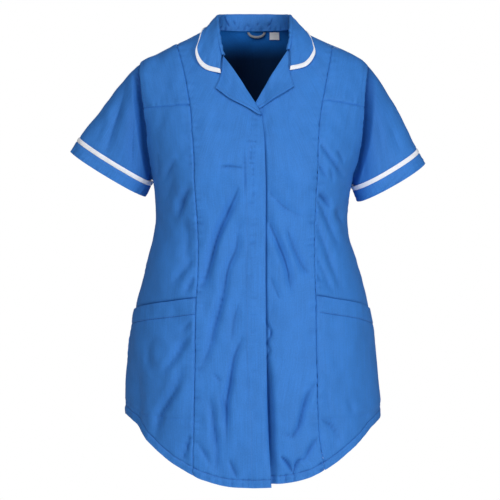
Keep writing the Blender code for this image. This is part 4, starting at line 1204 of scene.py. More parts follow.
def cut_size(points):
    """Width, length and area of a grid laid flat."""
    width = float(running_length(points, 1)[:, -1].max())
    length = float(running_length(points)[-1].max())
    here, beside, under, far = points[:-1, :-1], points[:-1, 1:], points[1:, :-1], points[1:, 1:]
    near_half = np.linalg.norm(np.cross(beside - here, under - here), axis=-1)
    far_half = np.linalg.norm(np.cross(beside - far, under - far), axis=-1)
    return width, length, float((near_half.sum() + far_half.sum()) / 2)


def declare_cloth(node, points):
    """Hide the solid that a shell stands for; the size of its cut is worked out but not used."""
    width, length, area = cut_size(points)
    width, length = max(width, NARROWEST_CUT), max(length, NARROWEST_CUT)
    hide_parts(node)
    area = min(max(area, LEAST_FILL * width * length), width * length)


def dress(node, points, normals, material, grid, hangs_from, held="hung", slot="blue_poplin", **wall):
    """A shell of cloth that stands for one solid of the part."""
    piece = add_shell(f"cloth_{node}", points, normals, material, **wall)
    declare_cloth(node, grid)
    return piece


def stitch_path(points, normals, mark, axis):
    """Points and normals where a distance is reached along the columns or rows of a grid."""
    distance = running_length(points, axis)
    if axis == 1:
        points, normals, distance = (np.swapaxes(part, 0, 1) for part in (points, normals, distance))
    count = distance.shape[1]
    return [
        np.array([along_path(part[:, j], distance[:, j], mark) for j in range(count)])
        for part in (points, normals)
    ]


def add_fronts(cloth, thread):
    """Centre fronts, side fronts, yokes and pockets, with their sewing."""
    edges, tops, sewing = {}, {}, []
    for side, grid in ((RIGHT, over_front()), (LEFT, under_front())):
        x, z = grid[..., 0], grid[..., 2]
        from_hem, from_edge = running_length(grid), running_length(grid, 1)
        from_seam = from_edge[:, -1:] - from_edge
        relief = front_relief(CENTRE_FOLDS, x, z)
        relief += hem_relief(from_hem, x, seed=21 + side)
        relief += seam_dip(from_seam) + pucker(from_seam, z, seed=31 + side)
        if side == LEFT:
            relief += lap_relief(x, z) + lap_gap(x, z)
            grid[..., 2] += under_hem(x, from_hem)
        else:
            relief += placket_relief(x, z, from_edge)
        normals = body_normal(grid, side, FRONT)
        points = raised(grid, normals, at_shoulder(relief, grid, from_hem))
        dress(f"front_centre_{SIDE_NAMES[side]}", points, normals, cloth, grid, "back")
        sewing.append(stitch_path(points, normals, HEM_BAND, 0))
        if side == RIGHT:
            sewing.append(stitch_path(points[:YOKE_ROW], normals[:YOKE_ROW], PLACKET_STITCH, 1))
        neck = NECK_HALF - CORNER_SLACK
        tops[side] = list(np.abs(grid[-1, np.abs(grid[-1, :, 0]) >= neck, 0]))
    for side in (RIGHT, LEFT):
        edges[side], more = add_side_front(side, cloth, tops[side])
        sewing += more
    add_thread("thread_fronts", sewing, thread)
    return edges, tops


def under_hem(x, from_hem):
    """How far the under front's cloth is drawn up near its hem, beside the lap."""
    start, reach = UNDER_HEM_ACROSS
    return UNDER_HEM_RISE * bell(np.maximum(x - start, 0), reach) * bell(from_hem, UNDER_HEM_HEIGHT)


def lap_gap(x, z):
    """The under front sinks beside the over front's edge, most of all below the belly."""
    heights, widths, depths = (column_of(LAP_GAP, name) for name in ("height", "width", "depth"))
    return -np.interp(z, heights, depths) * bell(x - lap_edge(z), np.interp(z, heights, widths))


def placket_relief(x, z, from_edge):
    """The over front's folded edge, and traces of the hidden fastening under it."""
    relief = dent(from_edge, 0, *FOLDED_EDGE)
    folded = (from_edge < PLACKET_STITCH) & (z > PLACKET_LOW)
    row = np.where(z > PLACKET_LOW, dent(from_edge, PLACKET_STITCH, *THREAD_DENT), 0)
    relief += np.where(folded, PLACKET_RISE, 0.0) + row
    rise, place, width = LADDER
    ladder = ripple(LADDER_SLANT * x, z, 41, LADDER_LENGTH, upright=1.0)
    relief += rise * ladder * bell(from_edge - place, width) * (z > LADDER_LOW)
    for height, start, stop in PLACKET_BARS:
        inside = (from_edge > start) & (from_edge < stop)
        relief += np.where(inside, dent(z, height, *BAR_DENT), 0.0)
    top, fade = CREASE_TOP
    for place, depth, low in PLACKET_CREASES:
        along = np.clip((z - low) / CREASE_FADE, 0, 1) * np.clip((top - z) / fade, 0, 1)
        relief += along * dent(from_edge, place, depth, CREASE_WIDTH)
    across, height = PLACKET_TACK
    depth, half_width, half_height = TACK_SIZE
    return relief - depth * np.exp(-(((x - across) / half_width) ** 2 + ((z - height) / half_height) ** 2))


def add_side_front(side, cloth, tops):
    """Side front, yoke and pocket of one side. Gives back the armhole edge and the sewing."""
    name = SIDE_NAMES[side]
    grid = side_front(side)
    tops.extend(np.abs(grid[-1, 1:, 0]))
    x, z = grid[..., 0], grid[..., 2]
    from_hem, from_seam = running_length(grid), running_length(grid, 1)
    from_side = from_seam[:, -1:] - from_seam
    relief = front_relief(SIDE_FOLDS, x, z)
    chest = 1 / (1 + np.exp((from_hem[UNDERARM_ROW] - from_hem) / UNDERARM_FADE))
    at_side = (1 - SEWN_IN * chest) * seam_dip(from_side)
    relief += hem_relief(from_hem, x, seed=51 + side) + seam_dip(from_seam) + at_side
    relief += pucker(from_seam, z, seed=61 + side)
    relief += SIDE_PUCKER * pucker(from_side, z, seed=71 + side)
    above_underarm = (np.arange(grid.shape[0]) > UNDERARM_ROW)[:, None]
    relief += dent(from_side, ARMHOLE_STITCH, *THREAD_DENT) * above_underarm
    relief += dent(from_hem, from_hem[POCKET_TOP_ROW] + POCKET_TUCK_UP, *POCKET_TUCK)
    from_yoke = np.abs(from_hem - from_hem[YOKE_ROW])
    above = YOKE_CALM + (1 - YOKE_CALM) * (from_hem > from_hem[YOKE_ROW])
    waves = pucker(from_yoke, x, seed=81 + side, length=YOKE_PUCKER_LENGTH)
    relief += seam_dip(from_yoke) + YOKE_PUCKER * above * waves
    normals = body_normal(grid, side, FRONT)
    points = raised(grid, normals, at_shoulder(relief, grid, from_hem))
    for panel, rows, seam in (("side", slice(YOKE_ROW + 1), f"front_yoke_{name}"),
                              ("yoke", slice(YOKE_ROW, None), "back")):
        dress(f"front_{panel}_{name}", points[rows], normals[rows], cloth, grid[rows], seam)
    sewing = [stitch_path(points, normals, HEM_BAND, 0)]
    chest_rows = slice(UNDERARM_ROW, None)
    mirrored = [part[chest_rows, ::-1] for part in (points, normals)]
    sewing.append(stitch_path(*mirrored, ARMHOLE_STITCH, 1))
    sewing.append(add_pocket(name, grid, points, normals, cloth))
    return [part[chest_rows, -1] for part in (points, normals, grid)], sewing


def add_pocket(name, grid, points, normals, cloth):
    """Patch pocket on a side front, its turned band at the top standing off a little. Gives its sewing."""
    rows = slice(POCKET_LOW_ROW, POCKET_TOP_ROW + 1)
    patch, patch_normals, flat = points[rows], normals[rows], grid[rows]
    from_low, from_seam = running_length(flat), running_length(flat, 1)
    from_top = from_low[-1:] - from_low
    share = from_seam / from_seam[:, -1:]
    gape = POCKET_GAPE * np.sin(math.pi * share) * bell(from_top, POCKET_GAPE_DEPTH)
    relief = POCKET_LIE + (POCKET_LIFT - POCKET_LIE) * (1 - bell(from_low, POCKET_SEWN)) + gape
    relief = relief + soft_step(from_top, POCKET_BAND) + dent(from_top, POCKET_BAND)
    relief -= dent(from_top, -POCKET_TUCK_UP, *POCKET_TUCK)
    relief += POCKET_PUCKER * pucker(
        from_top, flat[..., 0], seed=91, length=FINE_PUCKER, reach=POCKET_PUCKER_REACH)
    outer = raised(patch, patch_normals, relief + SHELL * POCKET_GAP)
    dress(f"pocket_{name}", outer, patch_normals, cloth, flat, f"front_side_{name}", thickness=POCKET_SHELL)
    return stitch_path(outer[::-1], patch_normals[::-1], POCKET_BAND, 0)


def one_stitch(places, normals):
    """Corners of one thread that dips into the cloth at both ends."""
    turns = np.arange(STITCH_SIDES) * 2 * math.pi / STITCH_SIDES
    girth, height = (np.array(part) * STITCH_RADIUS for part in (STITCH_GIRTHS, STITCH_HEIGHTS))
    up = unit(normals)
    forward = unit(np.gradient(places, axis=0))
    aside = unit(np.cross(forward, up))
    wide, high = np.cos(turns)[None, :, None], STITCH_FLAT * np.sin(turns)[None, :, None]
    around = wide * aside[:, None] + high * up[:, None]
    return (raised(places, up, height)[:, None] + around * girth[:, None, None]).reshape(-1, 3)


def add_thread(name, paths, material):
    """Rows of short threads along paths on the cloth, joined in one mesh."""
    shares = np.array(STITCH_SHARES)
    corners, faces, count = [], [], 0
    for points, normals in paths:
        length = running_length(points)
        for start in np.arange(STITCH_SPACE, length[-1] - STITCH_LENGTH, STITCH_LENGTH + STITCH_SPACE):
            marks = start + shares * STITCH_LENGTH
            corners.append(one_stitch(*(along_path(part, length, marks) for part in (points, normals))))
            faces.append(grid_faces(len(shares), STITCH_SIDES, True, count))
            count += len(shares) * STITCH_SIDES
    piece = add_mesh(name, np.concatenate(corners), np.concatenate(faces).tolist(), material)


def paint_inside_shade(piece, shaded_inside):
    """Give the inner half of a shell's faces, and not its rims, the copy of the cloth with painted shade."""
    piece.data.materials.append(shaded_inside)
    count = len(piece.data.vertices) // 2
    for face in piece.data.polygons:
        if min(face.vertices) >= count:
            face.material_index = 1


def add_back(cloth, shaded_inside, thread, tops):
    """The back, in like folds. Gives back its armhole edges."""
    halves = {side: back_half(side, tops[side]) for side in (RIGHT, LEFT)}
    parts = ((halves[RIGHT][:, :0:-1], RIGHT), (halves[LEFT], LEFT))
    grid = np.concatenate([half for half, _ in parts], axis=1)
    normals = np.concatenate([body_normal(half, side, BACK) for half, side in parts], axis=1)
    x, z = grid[..., 0], grid[..., 2]
    from_hem, from_right = running_length(grid), running_length(grid, 1)
    from_left = from_right[:, -1:] - from_right
    from_top = from_hem[-1:] - from_hem
    relief = fold_relief(BACK_FOLDS, x, z) + drape_noise(x, z, seed=15)
    relief += hem_relief(from_hem, x, seed=55)
    relief += seam_dip(from_right) + seam_dip(from_left) + seam_dip(from_top)
    relief += SIDE_PUCKER * pucker(from_right, z, seed=65)
    relief += SIDE_PUCKER * pucker(from_left, z, seed=66)
    points = raised(grid, normals, at_shoulder(relief, grid, from_hem))
    piece = dress("back", points, normals, cloth, grid, "front_yoke_right")
    # painted shade on the back's inner face
    paint_inside_shade(piece, shaded_inside)
    sewing = [stitch_path(points, normals, HEM_BAND, 0)]
    chest = slice(BACK_UNDERARM_ROW, None)
    for way in (slice(None), slice(None, None, -1)):
        sewing.append(stitch_path(points[chest, way], normals[chest, way], ARMHOLE_STITCH, 1))
    add_thread("thread_back", sewing, thread)
    edges = ((RIGHT, 0), (LEFT, -1))
    return {side: [part[chest, column] for part in (points, normals, grid)] for side, column in edges}


def tuck_depth(distance, tuck):
    """How deep a sleeve lies behind the body's edge, at a distance from the armhole seam."""
    return tuck.depth * (ease(distance, tuck.fall) - ease(distance - tuck.fall, tuck.climb))


def tucked_sleeve(side, plain, normals, relief, edge, loop):
    """The sleeve's own points near the armhole: sewn to the body's edge, then sunk in a tuck, with painted
    shade in the tuck and beside the body.
    """
    sewn, loop_normals, seam, turns = loop
    from_start, from_end = edge
    tuck = ARMHOLE_TUCKS[side]
    facing = np.where(turns < math.pi, 1.0, BEHIND_TUCK) * np.abs(np.sin(turns)) ** TUCK_ROUND
    sunk = tuck_depth(from_start, tuck)
    # painted shade: darkest at the tuck's bottom, and softer over the sleeve's front beside the body
    shade = TUCK_SHADE * facing * sunk / tuck.depth
    shade += ARM_SHADE * facing * bell(from_start, ARM_SHADE_REACH)
    normals = unit(raised(normals, loop_normals, bell(from_start, SEWN_TURN)))
    waves = pucker(from_start, plain[..., 0] + plain[..., 2], seed=67, height=SLEEVE_PUCKER)
    relief = relief * (1 - bell(from_start, SLEEVE_CALM)) + waves * (1 - bell(from_start, SLEEVE_SEWN))
    relief += seam_dip(from_end) * TRIM_DIP
    behind = np.stack([0 * turns, np.sign(np.sin(turns)), 0 * turns], axis=-1)
    off, inwards = TUCK_WAY
    plain = raised(plain, unit(off * behind - inwards * normals), facing * sunk)
    return raised(plain, sewn - seam, bell(from_start, SEWN_REACH)), normals, relief, shade


def closed_ring(grid):
    """A closed grid with its first column again at its end."""
    return np.concatenate([grid, grid[:, :1]], axis=1)


def add_sleeve(side, front_edge, back_edge, cloth, white, thread):
    """Sleeve, its white strip and its hem band, as three tubes end to end."""
    name = SIDE_NAMES[side]
    loop = armhole_loop(front_edge, back_edge)
    paths = sleeve_paths(side, *loop[2:])
    path_normals = grid_normals(paths, closed=True) * side
    lengths = running_length(paths)
    whole = lengths[-1]
    trim_start, cuff_start = whole - CUFF_DEPTH - TRIM_DEPTH, whole - CUFF_DEPTH
    poplin, binding = (cloth, "blue_poplin"), (white, "white_binding")
    for part, starts, stops, rows, crowding, (material, slot), seam, wall in (
        ("sleeve", 0 * whole, trim_start, SLEEVE_ROWS, SLEEVE_CROWDING, poplin, "back", SHELL),
        ("sleeve_trim", trim_start, cuff_start, TRIM_ROWS, 1.0, binding, f"sleeve_{name}", DOUBLE_SHELL),
        ("cuff", cuff_start, whole, CUFF_ROWS, 1.0, poplin, f"sleeve_trim_{name}", DOUBLE_SHELL),
    ):
        plain = rows_between(paths, lengths, starts, stops, rows, crowding)
        normals = unit(rows_between(path_normals, lengths, starts, stops, rows, crowding))
        from_start = running_length(plain)
        from_end = from_start[-1:] - from_start
        x, z = plain[..., 0], plain[..., 2]
        relief = fold_relief(SLEEVE_FOLDS, x, z) + SLEEVE_DRAPE * drape_noise(x, z, seed=17)
        relief += mound_relief(SLEEVE_FRONTS + SHOULDER_SINKS, x, z)
        shade = 0.0
        if part == "sleeve":
            plain, normals, relief, shade = tucked_sleeve(
                side, plain, normals, relief, (from_start, from_end), loop)
        elif part == "sleeve_trim":
            middle = from_start * from_end / (TRIM_DEPTH / 2) ** 2
            relief += TRIM_RISE * np.clip(middle, 0, 1) ** TRIM_ROUND
        else:
            relief += seam_dip(from_start) * TRIM_DIP - dent(from_end, *CUFF_ROLL)
            relief += CUFF_PUCKER * pucker(from_end, x - z, seed=69, length=FINE_PUCKER)
        points = raised(plain, normals, relief)
        dress(f"{part}_{name}", points, normals, material, closed_ring(plain), seam,
              slot=slot, closed=True, shade=shade, thickness=wall)
    ends = (closed_ring(grid)[::-1] for grid in (points, normals))
    add_thread(f"thread_cuff_{name}", [stitch_path(*ends, CUFF_STITCH, 0)], thread)


def collar_rows():
    """Rows of points from the neck seam up the stand, over the fold and down the fall."""
    seam, crest, edge = collar_ribs()
    up = unit(crest - seam)
    along = unit(np.gradient(crest, axis=0))
    out = unit(np.cross(along, up))
    out *= np.sign(np.sum(out * (edge - crest), axis=-1, keepdims=True))
    centre = crest - up * COLLAR_FOLD
    height = np.linalg.norm(centre - seam, axis=-1, keepdims=True)
    stand = np.maximum(height, 2 * COLLAR_LIFT)
    rows = []
    for share in np.concatenate([[STAND_TUCK], np.linspace(0, 1, STAND_ROWS + 1)[:-1]]):
        lean = STAND_LEAN * math.sin(math.pi * max(share, 0)) + COLLAR_FOLD * share
        rows.append(seam + up * (COLLAR_LIFT + (stand - COLLAR_LIFT) * share) - out * lean)
    for turn in np.linspace(0, math.pi, COLLAR_FOLD_ROWS):
        rows.append(centre + COLLAR_FOLD * (up * math.sin(turn) - out * math.cos(turn)))
    fold_end = rows[-1]
    fall = edge - fold_end
    places = np.linspace(0, 2, len(edge))
    middle, reach = COLLAR_FLAT_PLACE
    plump = 1 - COLLAR_FLAT * bell(1 - np.abs(places - 1) - middle, reach)[:, None]
    binding = 1 - BINDING / np.linalg.norm(fall, axis=-1, keepdims=True)
    for step in np.linspace(0, 1, COLLAR_FALL_ROWS + 1)[1:]:
        share = binding * step
        bulge = COLLAR_BULGE * 4 * share * (1 - share) * plump
        rows.append(clear_of_body(fold_end + fall * share + unit(out + up) * bulge, COLLAR_LIE))
    rows.append(clear_of_body(edge, COLLAR_LIE))
    return np.stack(rows)


def add_collar(cloth, white, thread):
    """Collar of two layers, its puckered stand, and the binding that wraps its edge."""
    grid = collar_rows()
    normals = grid_normals(grid)
    wall, wall_normals = grid[:-1], normals[:-1]
    down, across = running_length(wall), running_length(wall, 1)
    from_binding = down[-1:] - down
    along = across / across[:, -1:] * COLLAR_LENGTH
    length, start = COLLAR_WAVE
    relief = COLLAR_CRINKLE * ripple(along, down, 71, length, upright=1.0) * (down > start)
    height, length, reach = STAND_WAVE
    relief += height * ripple(along, STAND_WAVE_SLANT * down, 72, length, upright=1.0) * bell(down, reach)
    edge_waves = pucker(from_binding, along, seed=73, height=COLLAR_CRINKLE, length=FINE_PUCKER)
    relief += COLLAR_PUCKER * edge_waves
    stand = (wall[..., 1] > 0) & (down < STAND_HEIGHT)
    relief += np.where(stand, fold_relief(STAND_FOLDS, wall[..., 0], wall[..., 2]), 0)
    points = raised(wall, wall_normals, relief)
    half = wall_normals * DOUBLE_SHELL / 2
    dress("collar", points + half, wall_normals, cloth, wall, "back", inner=points - half)
    lift = unit(normals[-2] + normals[-1]) * (DOUBLE_SHELL / 2 + BINDING_LIFT)
    start, end = grid[-2], grid[-1]
    strip = [start + (end - start) * place + lift * height for place, height in BINDING_PROFILE]
    add_binding(np.stack(strip, axis=1), grid[-2:], white)
    add_thread("thread_collar", [stitch_path(points[::-1], wall_normals[::-1], COLLAR_STITCH, 0)], thread)


def add_binding(strip, flat, white):
    """Closed tube of binding tape round the collar's edge, with its ends turned in."""
    stations, around = strip.shape[:2]
    faces = grid_faces(stations, around, True).tolist()
    faces.append(list(range(around)))
    faces.append(list(range((stations - 1) * around, stations * around))[::-1])
    place = np.arange(around) * BINDING_STEP
    uv = np.stack([np.repeat(running_length(strip[:, 0]), around), np.tile(place, stations)], axis=-1)
    piece = add_mesh("cloth_collar_trim", strip.reshape(-1, 3), faces, white, uv)
    fix_outward(piece)
    declare_cloth("collar_trim", flat)


def fix_outward(piece):
    """Turn a closed mesh so that its faces look out."""
    mesh = piece.data
    corners = np.array([vertex.co[:] for vertex in mesh.vertices])
    volume = 0.0
    for face in mesh.polygons:
        a, b, c = (corners[face.vertices[k]] for k in range(3))
        volume += float(a @ np.cross(b, c)) * (len(face.vertices) - 2)
    if volume < 0:
        mesh.flip_normals()


def lapel_grid(side, along, corner):
    """Flat grid of a lapel, from its roll line to its free edge, crisp at its corner."""
    rows = LAPELS[side]
    places = column_of(rows, "along")
    lines = {name: follow(rows, name, along, by="along") for name in ("roll_across", "roll_height")}
    for name in ("edge_across", "edge_height"):
        values = column_of(rows, name)
        upper = part_way(along / corner, values[0], values[1])
        lower = smooth_curve(places[1:], values[1:], np.maximum(along, corner))
        lines[name] = np.where(along < corner, upper, lower)
    share = np.linspace(0, 1, LAPEL_COLUMNS + 1)[None, :]
    x = part_way(share, lines["roll_across"][:, None], lines["edge_across"][:, None])
    z = part_way(share, lines["roll_height"][:, None], lines["edge_height"][:, None])
    return body_point(x, z, side, FRONT)


def add_lapel(side, cloth, thread):
    """Turned-back front: it rolls over the front's edge and lies on the panel."""
    name = SIDE_NAMES[side]
    corner = LAPELS[side][1].along
    along = evenly([0.0, corner, 1.0], LAPEL_ROWS)
    flat = lapel_grid(side, along, corner)
    x, z = flat[..., 0], flat[..., 2]
    normals = body_normal(flat, side, FRONT)
    relief = front_relief(CENTRE_FOLDS, x, z)
    if side == LEFT:
        relief = relief + lap_relief(x, z)
    points = raised(flat, normals, relief)
    across = running_length(flat, 1)
    from_free = across[:, -1:] - across
    beyond = np.clip(along / corner, 0, 1)[:, None] ** 2
    rise, width = LAPEL_ROOT
    lift = LAPEL_LIFT + rise * bell(across, width)
    lift = lift + LAPEL_STAND * beyond * bell(from_free, LAPEL_STAND_REACH)
    if side == LEFT:
        less, start, length = LAPEL_SETTLE
        lift = lift * (1 - less * np.clip((along - start) / length, 0, 1)[:, None])
    height, length = LAPEL_WAVE
    lift = lift + height * ripple(x, z, 75, length) + dent(from_free, EDGE_STITCH, *LAPEL_DENT)
    way, up = unit(points[:, 1] - points[:, 0]), normals[:, 0]
    roll = []
    for turn in np.linspace(-0.5, 0.5, LAPEL_FOLD_ROWS + 1)[:-1] * math.pi:
        risen = LAPEL_RISE + LAPEL_ROLL * math.sin(turn)
        roll.append(points[:, 0] + up * risen - way * LAPEL_ROLL * math.cos(turn))
    outer = np.concatenate([np.stack(roll, axis=1), raised(points, normals, lift)], axis=1)
    outer_normals = grid_normals(outer)
    outer_normals *= np.sign(np.sum(outer_normals[:, -1] * normals[:, -1], axis=-1).mean())
    dress(f"lapel_{name}", outer, outer_normals, cloth, flat, f"front_centre_{name}", held="folded",
          thickness=LAPEL_SHELL)
    sewing = stitch_path(outer[:, ::-1], outer_normals[:, ::-1], EDGE_STITCH, 1)
    add_thread(f"thread_lapel_{name}", [sewing], thread)


def inside_back(x, z, gap):
    """Points a gap inside the back, and the direction into the hollow."""
    points = body_point(x, z, LEFT, BACK)
    normals = body_normal(points, LEFT, BACK)
    return points - normals * (SHELL + SEAM_DROP + gap), -normals


def add_neck_pieces(tape, label):
    """Hanging loop and plain label inside the back neck."""
    along, across = LOOP_STEPS
    turns = np.linspace(0, math.pi, along + 1)[:, None]
    share = np.linspace(0, 1, across + 1)[None, :]
    narrower = LOOP_WIDTH * (1 - share)
    x = LOOP_MIDDLE - np.cos(turns) * (LOOP_HALF - narrower)
    z = LOOP_TOP - np.sin(turns) * (LOOP_DROP - narrower)
    points, normals = inside_back(x, z, LOOP_GAP)
    points = raised(points, normals, LOOP_BULGE * np.sin(math.pi * share) ** 0.5)
    dress("hanger_loop", points, normals, tape, points, "back", slot="loop_tape", thickness=LOOP_SHELL)
    across, down = LABEL_POINTS
    x, z = np.meshgrid(np.linspace(*LABEL_ACROSS, across), np.linspace(*LABEL_HEIGHTS, down))
    points, normals = inside_back(x, z, LABEL_GAP)
    height, length = LABEL_WAVE
    points = raised(points, normals, height * ripple(x, z, 77, length))
    dress("care_label", points, normals, label, points, "back", slot="label_cloth", thickness=LABEL_SHELL)


def new_material(name):
    """A material with nodes, its node tree and its shader."""
    material = bpy.data.materials.new(name)
    material.use_nodes = True
    tree = material.node_tree
    return material, tree, tree.nodes["Principled BSDF"]


def set_inputs(tree, node, inputs):
    """Give a node's inputs their values, or link them to other nodes' outputs."""
    for name, value in inputs.items():
        if isinstance(value, bpy.types.NodeSocket):
            tree.links.new(value, node.inputs[name])
        else:
            node.inputs[name].default_value = value


def add_node(tree, kind, inputs, output=0, **settings):
    """One shader node with its settings and inputs. Gives back one of its outputs."""
    node = tree.nodes.new("ShaderNode" + kind)
    for name, value in settings.items():
        setattr(node, name, value)
    set_inputs(tree, node, inputs)
    return node.outputs[output]


def calculate(tree, operation, first, second=None):
    """One sum of two values or sockets."""
    inputs = {0: first} if second is None else {0: first, 1: second}
    return add_node(tree, "Math", inputs, operation=operation)


def noise_of(tree, places, scale, detail=2.0):
    """Noise at some places."""
    return add_node(tree, "TexNoise", {"Scale": scale, "Detail": detail, "Vector": places})


def multiply_colours(tree, factor, first, second):
    """A colour tinted by another."""
    inputs = {"Factor": factor, "A": first, "B": second}
    return add_node(tree, "Mix", inputs, "Result", data_type="RGBA", blend_type="MULTIPLY")


def woven_material(name, colour, thread_width, roughness, sheen, variation, weave_depth, shade_in_hollows):
    """Plain weave in thread widths of metres, with slubs, slow changes of tone, and painted shade where the
    cloth bends inwards.
    """
    material, tree, shader = new_material(name)
    places = add_node(tree, "UVMap", {}, "UV", uv_map="cloth")
    split = add_node(tree, "SeparateXYZ", {0: places}).node
    waves = []
    for axis in ("X", "Y"):
        scaled = calculate(tree, "MULTIPLY", split.outputs[axis], math.pi / thread_width)
        waves.append(calculate(tree, "SINE", scaled))
    cross = calculate(tree, "MULTIPLY", *waves)
    slub_places = add_node(tree, "Mapping", {"Scale": SLUB_SCALES, "Vector": places})
    slub = noise_of(tree, slub_places, 1.0)
    cloud = noise_of(tree, places, CLOUD_SCALE, 3.0)
    mottle = noise_of(tree, places, MOTTLE_SCALE)
    three = calculate(tree, "ADD", calculate(tree, "ADD", slub, cloud), mottle)
    low, high = SHADE_RANGE
    limits = {"From Min": low, "From Max": high, "To Min": 1 - variation, "To Max": 1 + variation}
    ramp = add_node(tree, "MapRange", {"Value": three, **limits})
    tint = multiply_colours(tree, 1.0, (*colour, 1.0), ramp)
    # painted shade: the colour is darkened by the share stored on the mesh
    hollow = add_node(tree, "Attribute", {}, "Fac", attribute_name="hollow")
    painted_shade_colour = multiply_colours(tree, hollow, tint, (*shade_in_hollows, 1.0))
    height = calculate(tree, "ADD", cross, slub)
    relief = {"Strength": WEAVE_STRENGTH, "Distance": weave_depth, "Height": height}
    bump = add_node(tree, "Bump", relief)
    set_inputs(tree, shader, {
        "Roughness": roughness, "Sheen Weight": sheen, "Sheen Roughness": SHEEN_ROUGHNESS,
        "Specular IOR Level": CLOTH_SHINE, "Base Color": painted_shade_colour, "Normal": bump,
    })
    return material


def shade_inside(material, colour):
    """Painted shade on a cloth's inner face, darker deep in the hollow than at the neck: a copy with a darker
    colour.
    """
    shaded_inside = material.copy()
    shaded_inside.name = material.name + "_painted_inside_shade"
    tree = shaded_inside.node_tree
    tint = next(node for node in tree.nodes if node.type == "MIX")
    places = add_node(tree, "TexCoord", {}, "Object")
    height = add_node(tree, "SeparateXYZ", {0: places}, "Z")
    limits = {"From Min": INSIDE_DARK, "From Max": INSIDE_LIGHT}
    depth = add_node(tree, "MapRange", {"Value": height, **limits}, interpolation_type="SMOOTHSTEP")
    deep, high = ((*(part * shade for part in colour), 1.0) for shade in (INSIDE_SHADE, INSIDE_TOP_SHADE))
    shade = add_node(tree, "Mix", {"A": deep, "B": high, "Factor": depth}, "Result", data_type="RGBA")
    tree.links.new(shade, tint.inputs["A"])
    set_inputs(tree, tree.nodes["Principled BSDF"], {"Sheen Weight": 0.0, "Specular IOR Level": INSIDE_SHINE})
    return shaded_inside


def thread_material(name, colour):
    """Twisted sewing thread: slightly shiny, its shade uneven along the seam."""
    material, tree, shader = new_material(name)
    noise = noise_of(tree, add_node(tree, "TexCoord", {}, "Object"), THREAD_TWIST)
    dark, light = THREAD_SHADES
    ramp = add_node(tree, "MapRange", {"Value": noise, "To Min": dark, "To Max": light})
    tint = multiply_colours(tree, 1.0, (*colour, 1.0), ramp)
    set_inputs(tree, shader, {"Roughness": THREAD_ROUGHNESS, "Base Color": tint})
    return material


POPLIN = (0.040, 0.200, 0.605)
# painted shade: colour of the back's inner face, before it is darkened by height
INSIDE_SHADE_COLOUR = (0.012, 0.165, 0.600)
THREAD_COLOUR = (0.050, 0.19, 0.56)
THREAD_SHADES = (0.75, 1.2)  # darkest and lightest, as shares of the colour
THREAD_TWIST = 900.0  # changes of shade in a metre of thread
THREAD_ROUGHNESS = 0.45
SHADE_RANGE = (1.1, 1.9)  # sums of the three noises that give the darkest and lightest cloth
WEAVE_STRENGTH = 0.5
SHEEN_ROUGHNESS = 0.45
CLOTH_SHINE = 0.18
INSIDE_SHINE = 0.1
CAMERA_DISTANCE = 4.0
CAMERA_ACROSS = -0.0034
CAMERA_HEIGHT = -0.374
FRAME_WIDTH = 0.85  # width of the picture at the garment's middle
SENSOR = 36.0
FLOOR_HEIGHT = -1.40  # a standing wearer's feet
FLOOR_RADIUS = 5.0
INSIDE_LIGHT = -0.005  # the painted shade on the back's inner face is lightest above this height
INSIDE_DARK = -0.046  # and darkest below this one
# painted shade: shares of that colour kept deep in the hollow and near the neck
INSIDE_SHADE = 0.11
INSIDE_TOP_SHADE = 0.85
FLOOR_CORNERS = 96
FLOOR_COLOUR = (0.93, 0.93, 0.93, 1.0)
FLOOR_ROUGHNESS = 0.9
SLUB_SCALES = (520.0, 16.0, 1.0)  # slubs are thin across and long
CLOUD_SCALE = 28.0
MOTTLE_SCALE = 420.0
CLOTHS = (  # name, colour, thread width, roughness, sheen, variation, weave depth, tint of painted shade in hollows
    ("poplin", POPLIN, 0.00045, 0.62, 0.0, 0.11, 0.00006, (0.22, 0.38, 0.52)),
    ("binding_tape", (0.88, 0.90, 0.96), 0.00040, 0.72, 0.10, 0.03, 0.00006, (0.70, 0.72, 0.80)),
    ("loop_tape", (0.36, 0.38, 0.40), 0.00060, 0.80, 0.10, 0.10, 0.00010, (0.60, 0.60, 0.60)),
    ("label_cloth", (0.97, 0.97, 0.98), 0.00030, 0.60, 0.10, 0.03, 0.00004, (0.80, 0.80, 0.80)),
)
LIGHT_TARGET = (0.0, 0.0, -0.35)
LIGHTS = (  # name, place, size, power
    ("key", (2.5, -3.6, 0.1), 1.4, 79.0),
    ("fill", (-1.6, -3.9, 1.6), 1.4, 56.0),
    ("above", (0.0, -2.6, 2.2), 1.6, 24.0),
    ("behind", (0.0, 4.4, 0.9), 1.2, 60.0),
)
WORLD_LIGHT = 0.13
WORLD_SEEN = 1.0


def look_at(thing, place, target):
    """Put an object at a place, its -Z axis towards a target."""
    direction = mathutils.Vector(target) - mathutils.Vector(place)
    thing.location = place
    thing.rotation_euler = direction.to_track_quat("-Z", "Y").to_euler()


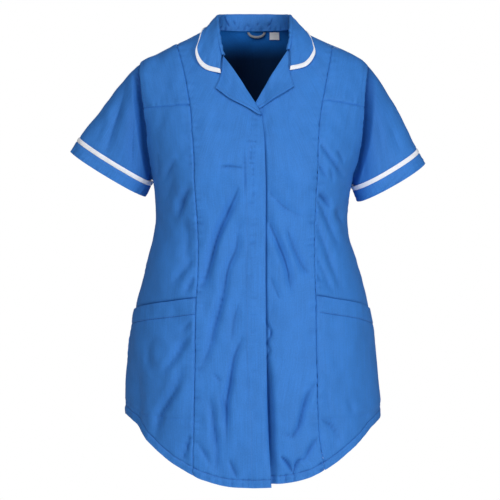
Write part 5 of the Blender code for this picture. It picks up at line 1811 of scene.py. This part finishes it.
def add_camera():
    """Camera level with the middle of the tunic, straight in front."""
    data = bpy.data.cameras.new("camera")
    data.sensor_width = SENSOR
    data.lens = SENSOR * CAMERA_DISTANCE / FRAME_WIDTH
    data.clip_end = 100.0
    camera = link_object("camera", data)
    place = (CAMERA_ACROSS, -CAMERA_DISTANCE, CAMERA_HEIGHT)
    look_at(camera, place, (CAMERA_ACROSS, 0.0, CAMERA_HEIGHT))
    bpy.context.scene.camera = camera


def add_lights():
    """Soft white studio lights, the strongest from the wearer's left front."""
    for name, place, size, power in LIGHTS:
        data = bpy.data.lights.new(name, "AREA")
        data.shape = "DISK"
        data.size = size
        data.energy = power
        look_at(link_object(name, data), place, LIGHT_TARGET)


def add_world():
    """White surroundings, brighter to the eye than as a light."""
    world = bpy.data.worlds.new("studio")
    bpy.context.scene.world = world
    world.use_nodes = True
    tree = world.node_tree
    seen = add_node(tree, "LightPath", {}, "Is Camera Ray")
    limits = {"To Min": WORLD_LIGHT, "To Max": WORLD_SEEN}
    strength = add_node(tree, "MapRange", {"Value": seen, **limits})
    set_inputs(tree, tree.nodes["Background"], {"Color": (1.0, 1.0, 1.0, 1.0), "Strength": strength})


def add_floor():
    """Plain pale floor far below, where a wearer would stand."""
    turns = np.linspace(0, 2 * math.pi, FLOOR_CORNERS, endpoint=False)
    corners = [(FLOOR_RADIUS * math.cos(t), FLOOR_RADIUS * math.sin(t), FLOOR_HEIGHT) for t in turns]
    mesh = bpy.data.meshes.new("floor")
    mesh.from_pydata(corners, [], [tuple(range(FLOOR_CORNERS))])
    material, tree, shader = new_material("pale_floor")
    set_inputs(tree, shader, {"Base Color": FLOOR_COLOUR, "Roughness": FLOOR_ROUGHNESS})
    mesh.materials.append(material)
    link_object("floor", mesh)


def build():
    """The dressed tunic, its stage, lights and camera."""
    poplin, white, tape, label = (woven_material(*row) for row in CLOTHS)
    thread = thread_material("blue_thread", THREAD_COLOUR)
    edges, tops = add_fronts(poplin, thread)
    back_edges = add_back(poplin, shade_inside(poplin, INSIDE_SHADE_COLOUR), thread, tops)
    for side in (RIGHT, LEFT):
        add_sleeve(side, edges[side], back_edges[side], poplin, white, thread)
        add_lapel(side, poplin, thread)
    add_collar(poplin, white, thread)
    add_neck_pieces(tape, label)
    add_camera()
    add_lights()
    add_world()
    add_floor()
    bpy.context.scene.view_settings.view_transform = "Standard"


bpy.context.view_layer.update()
build()
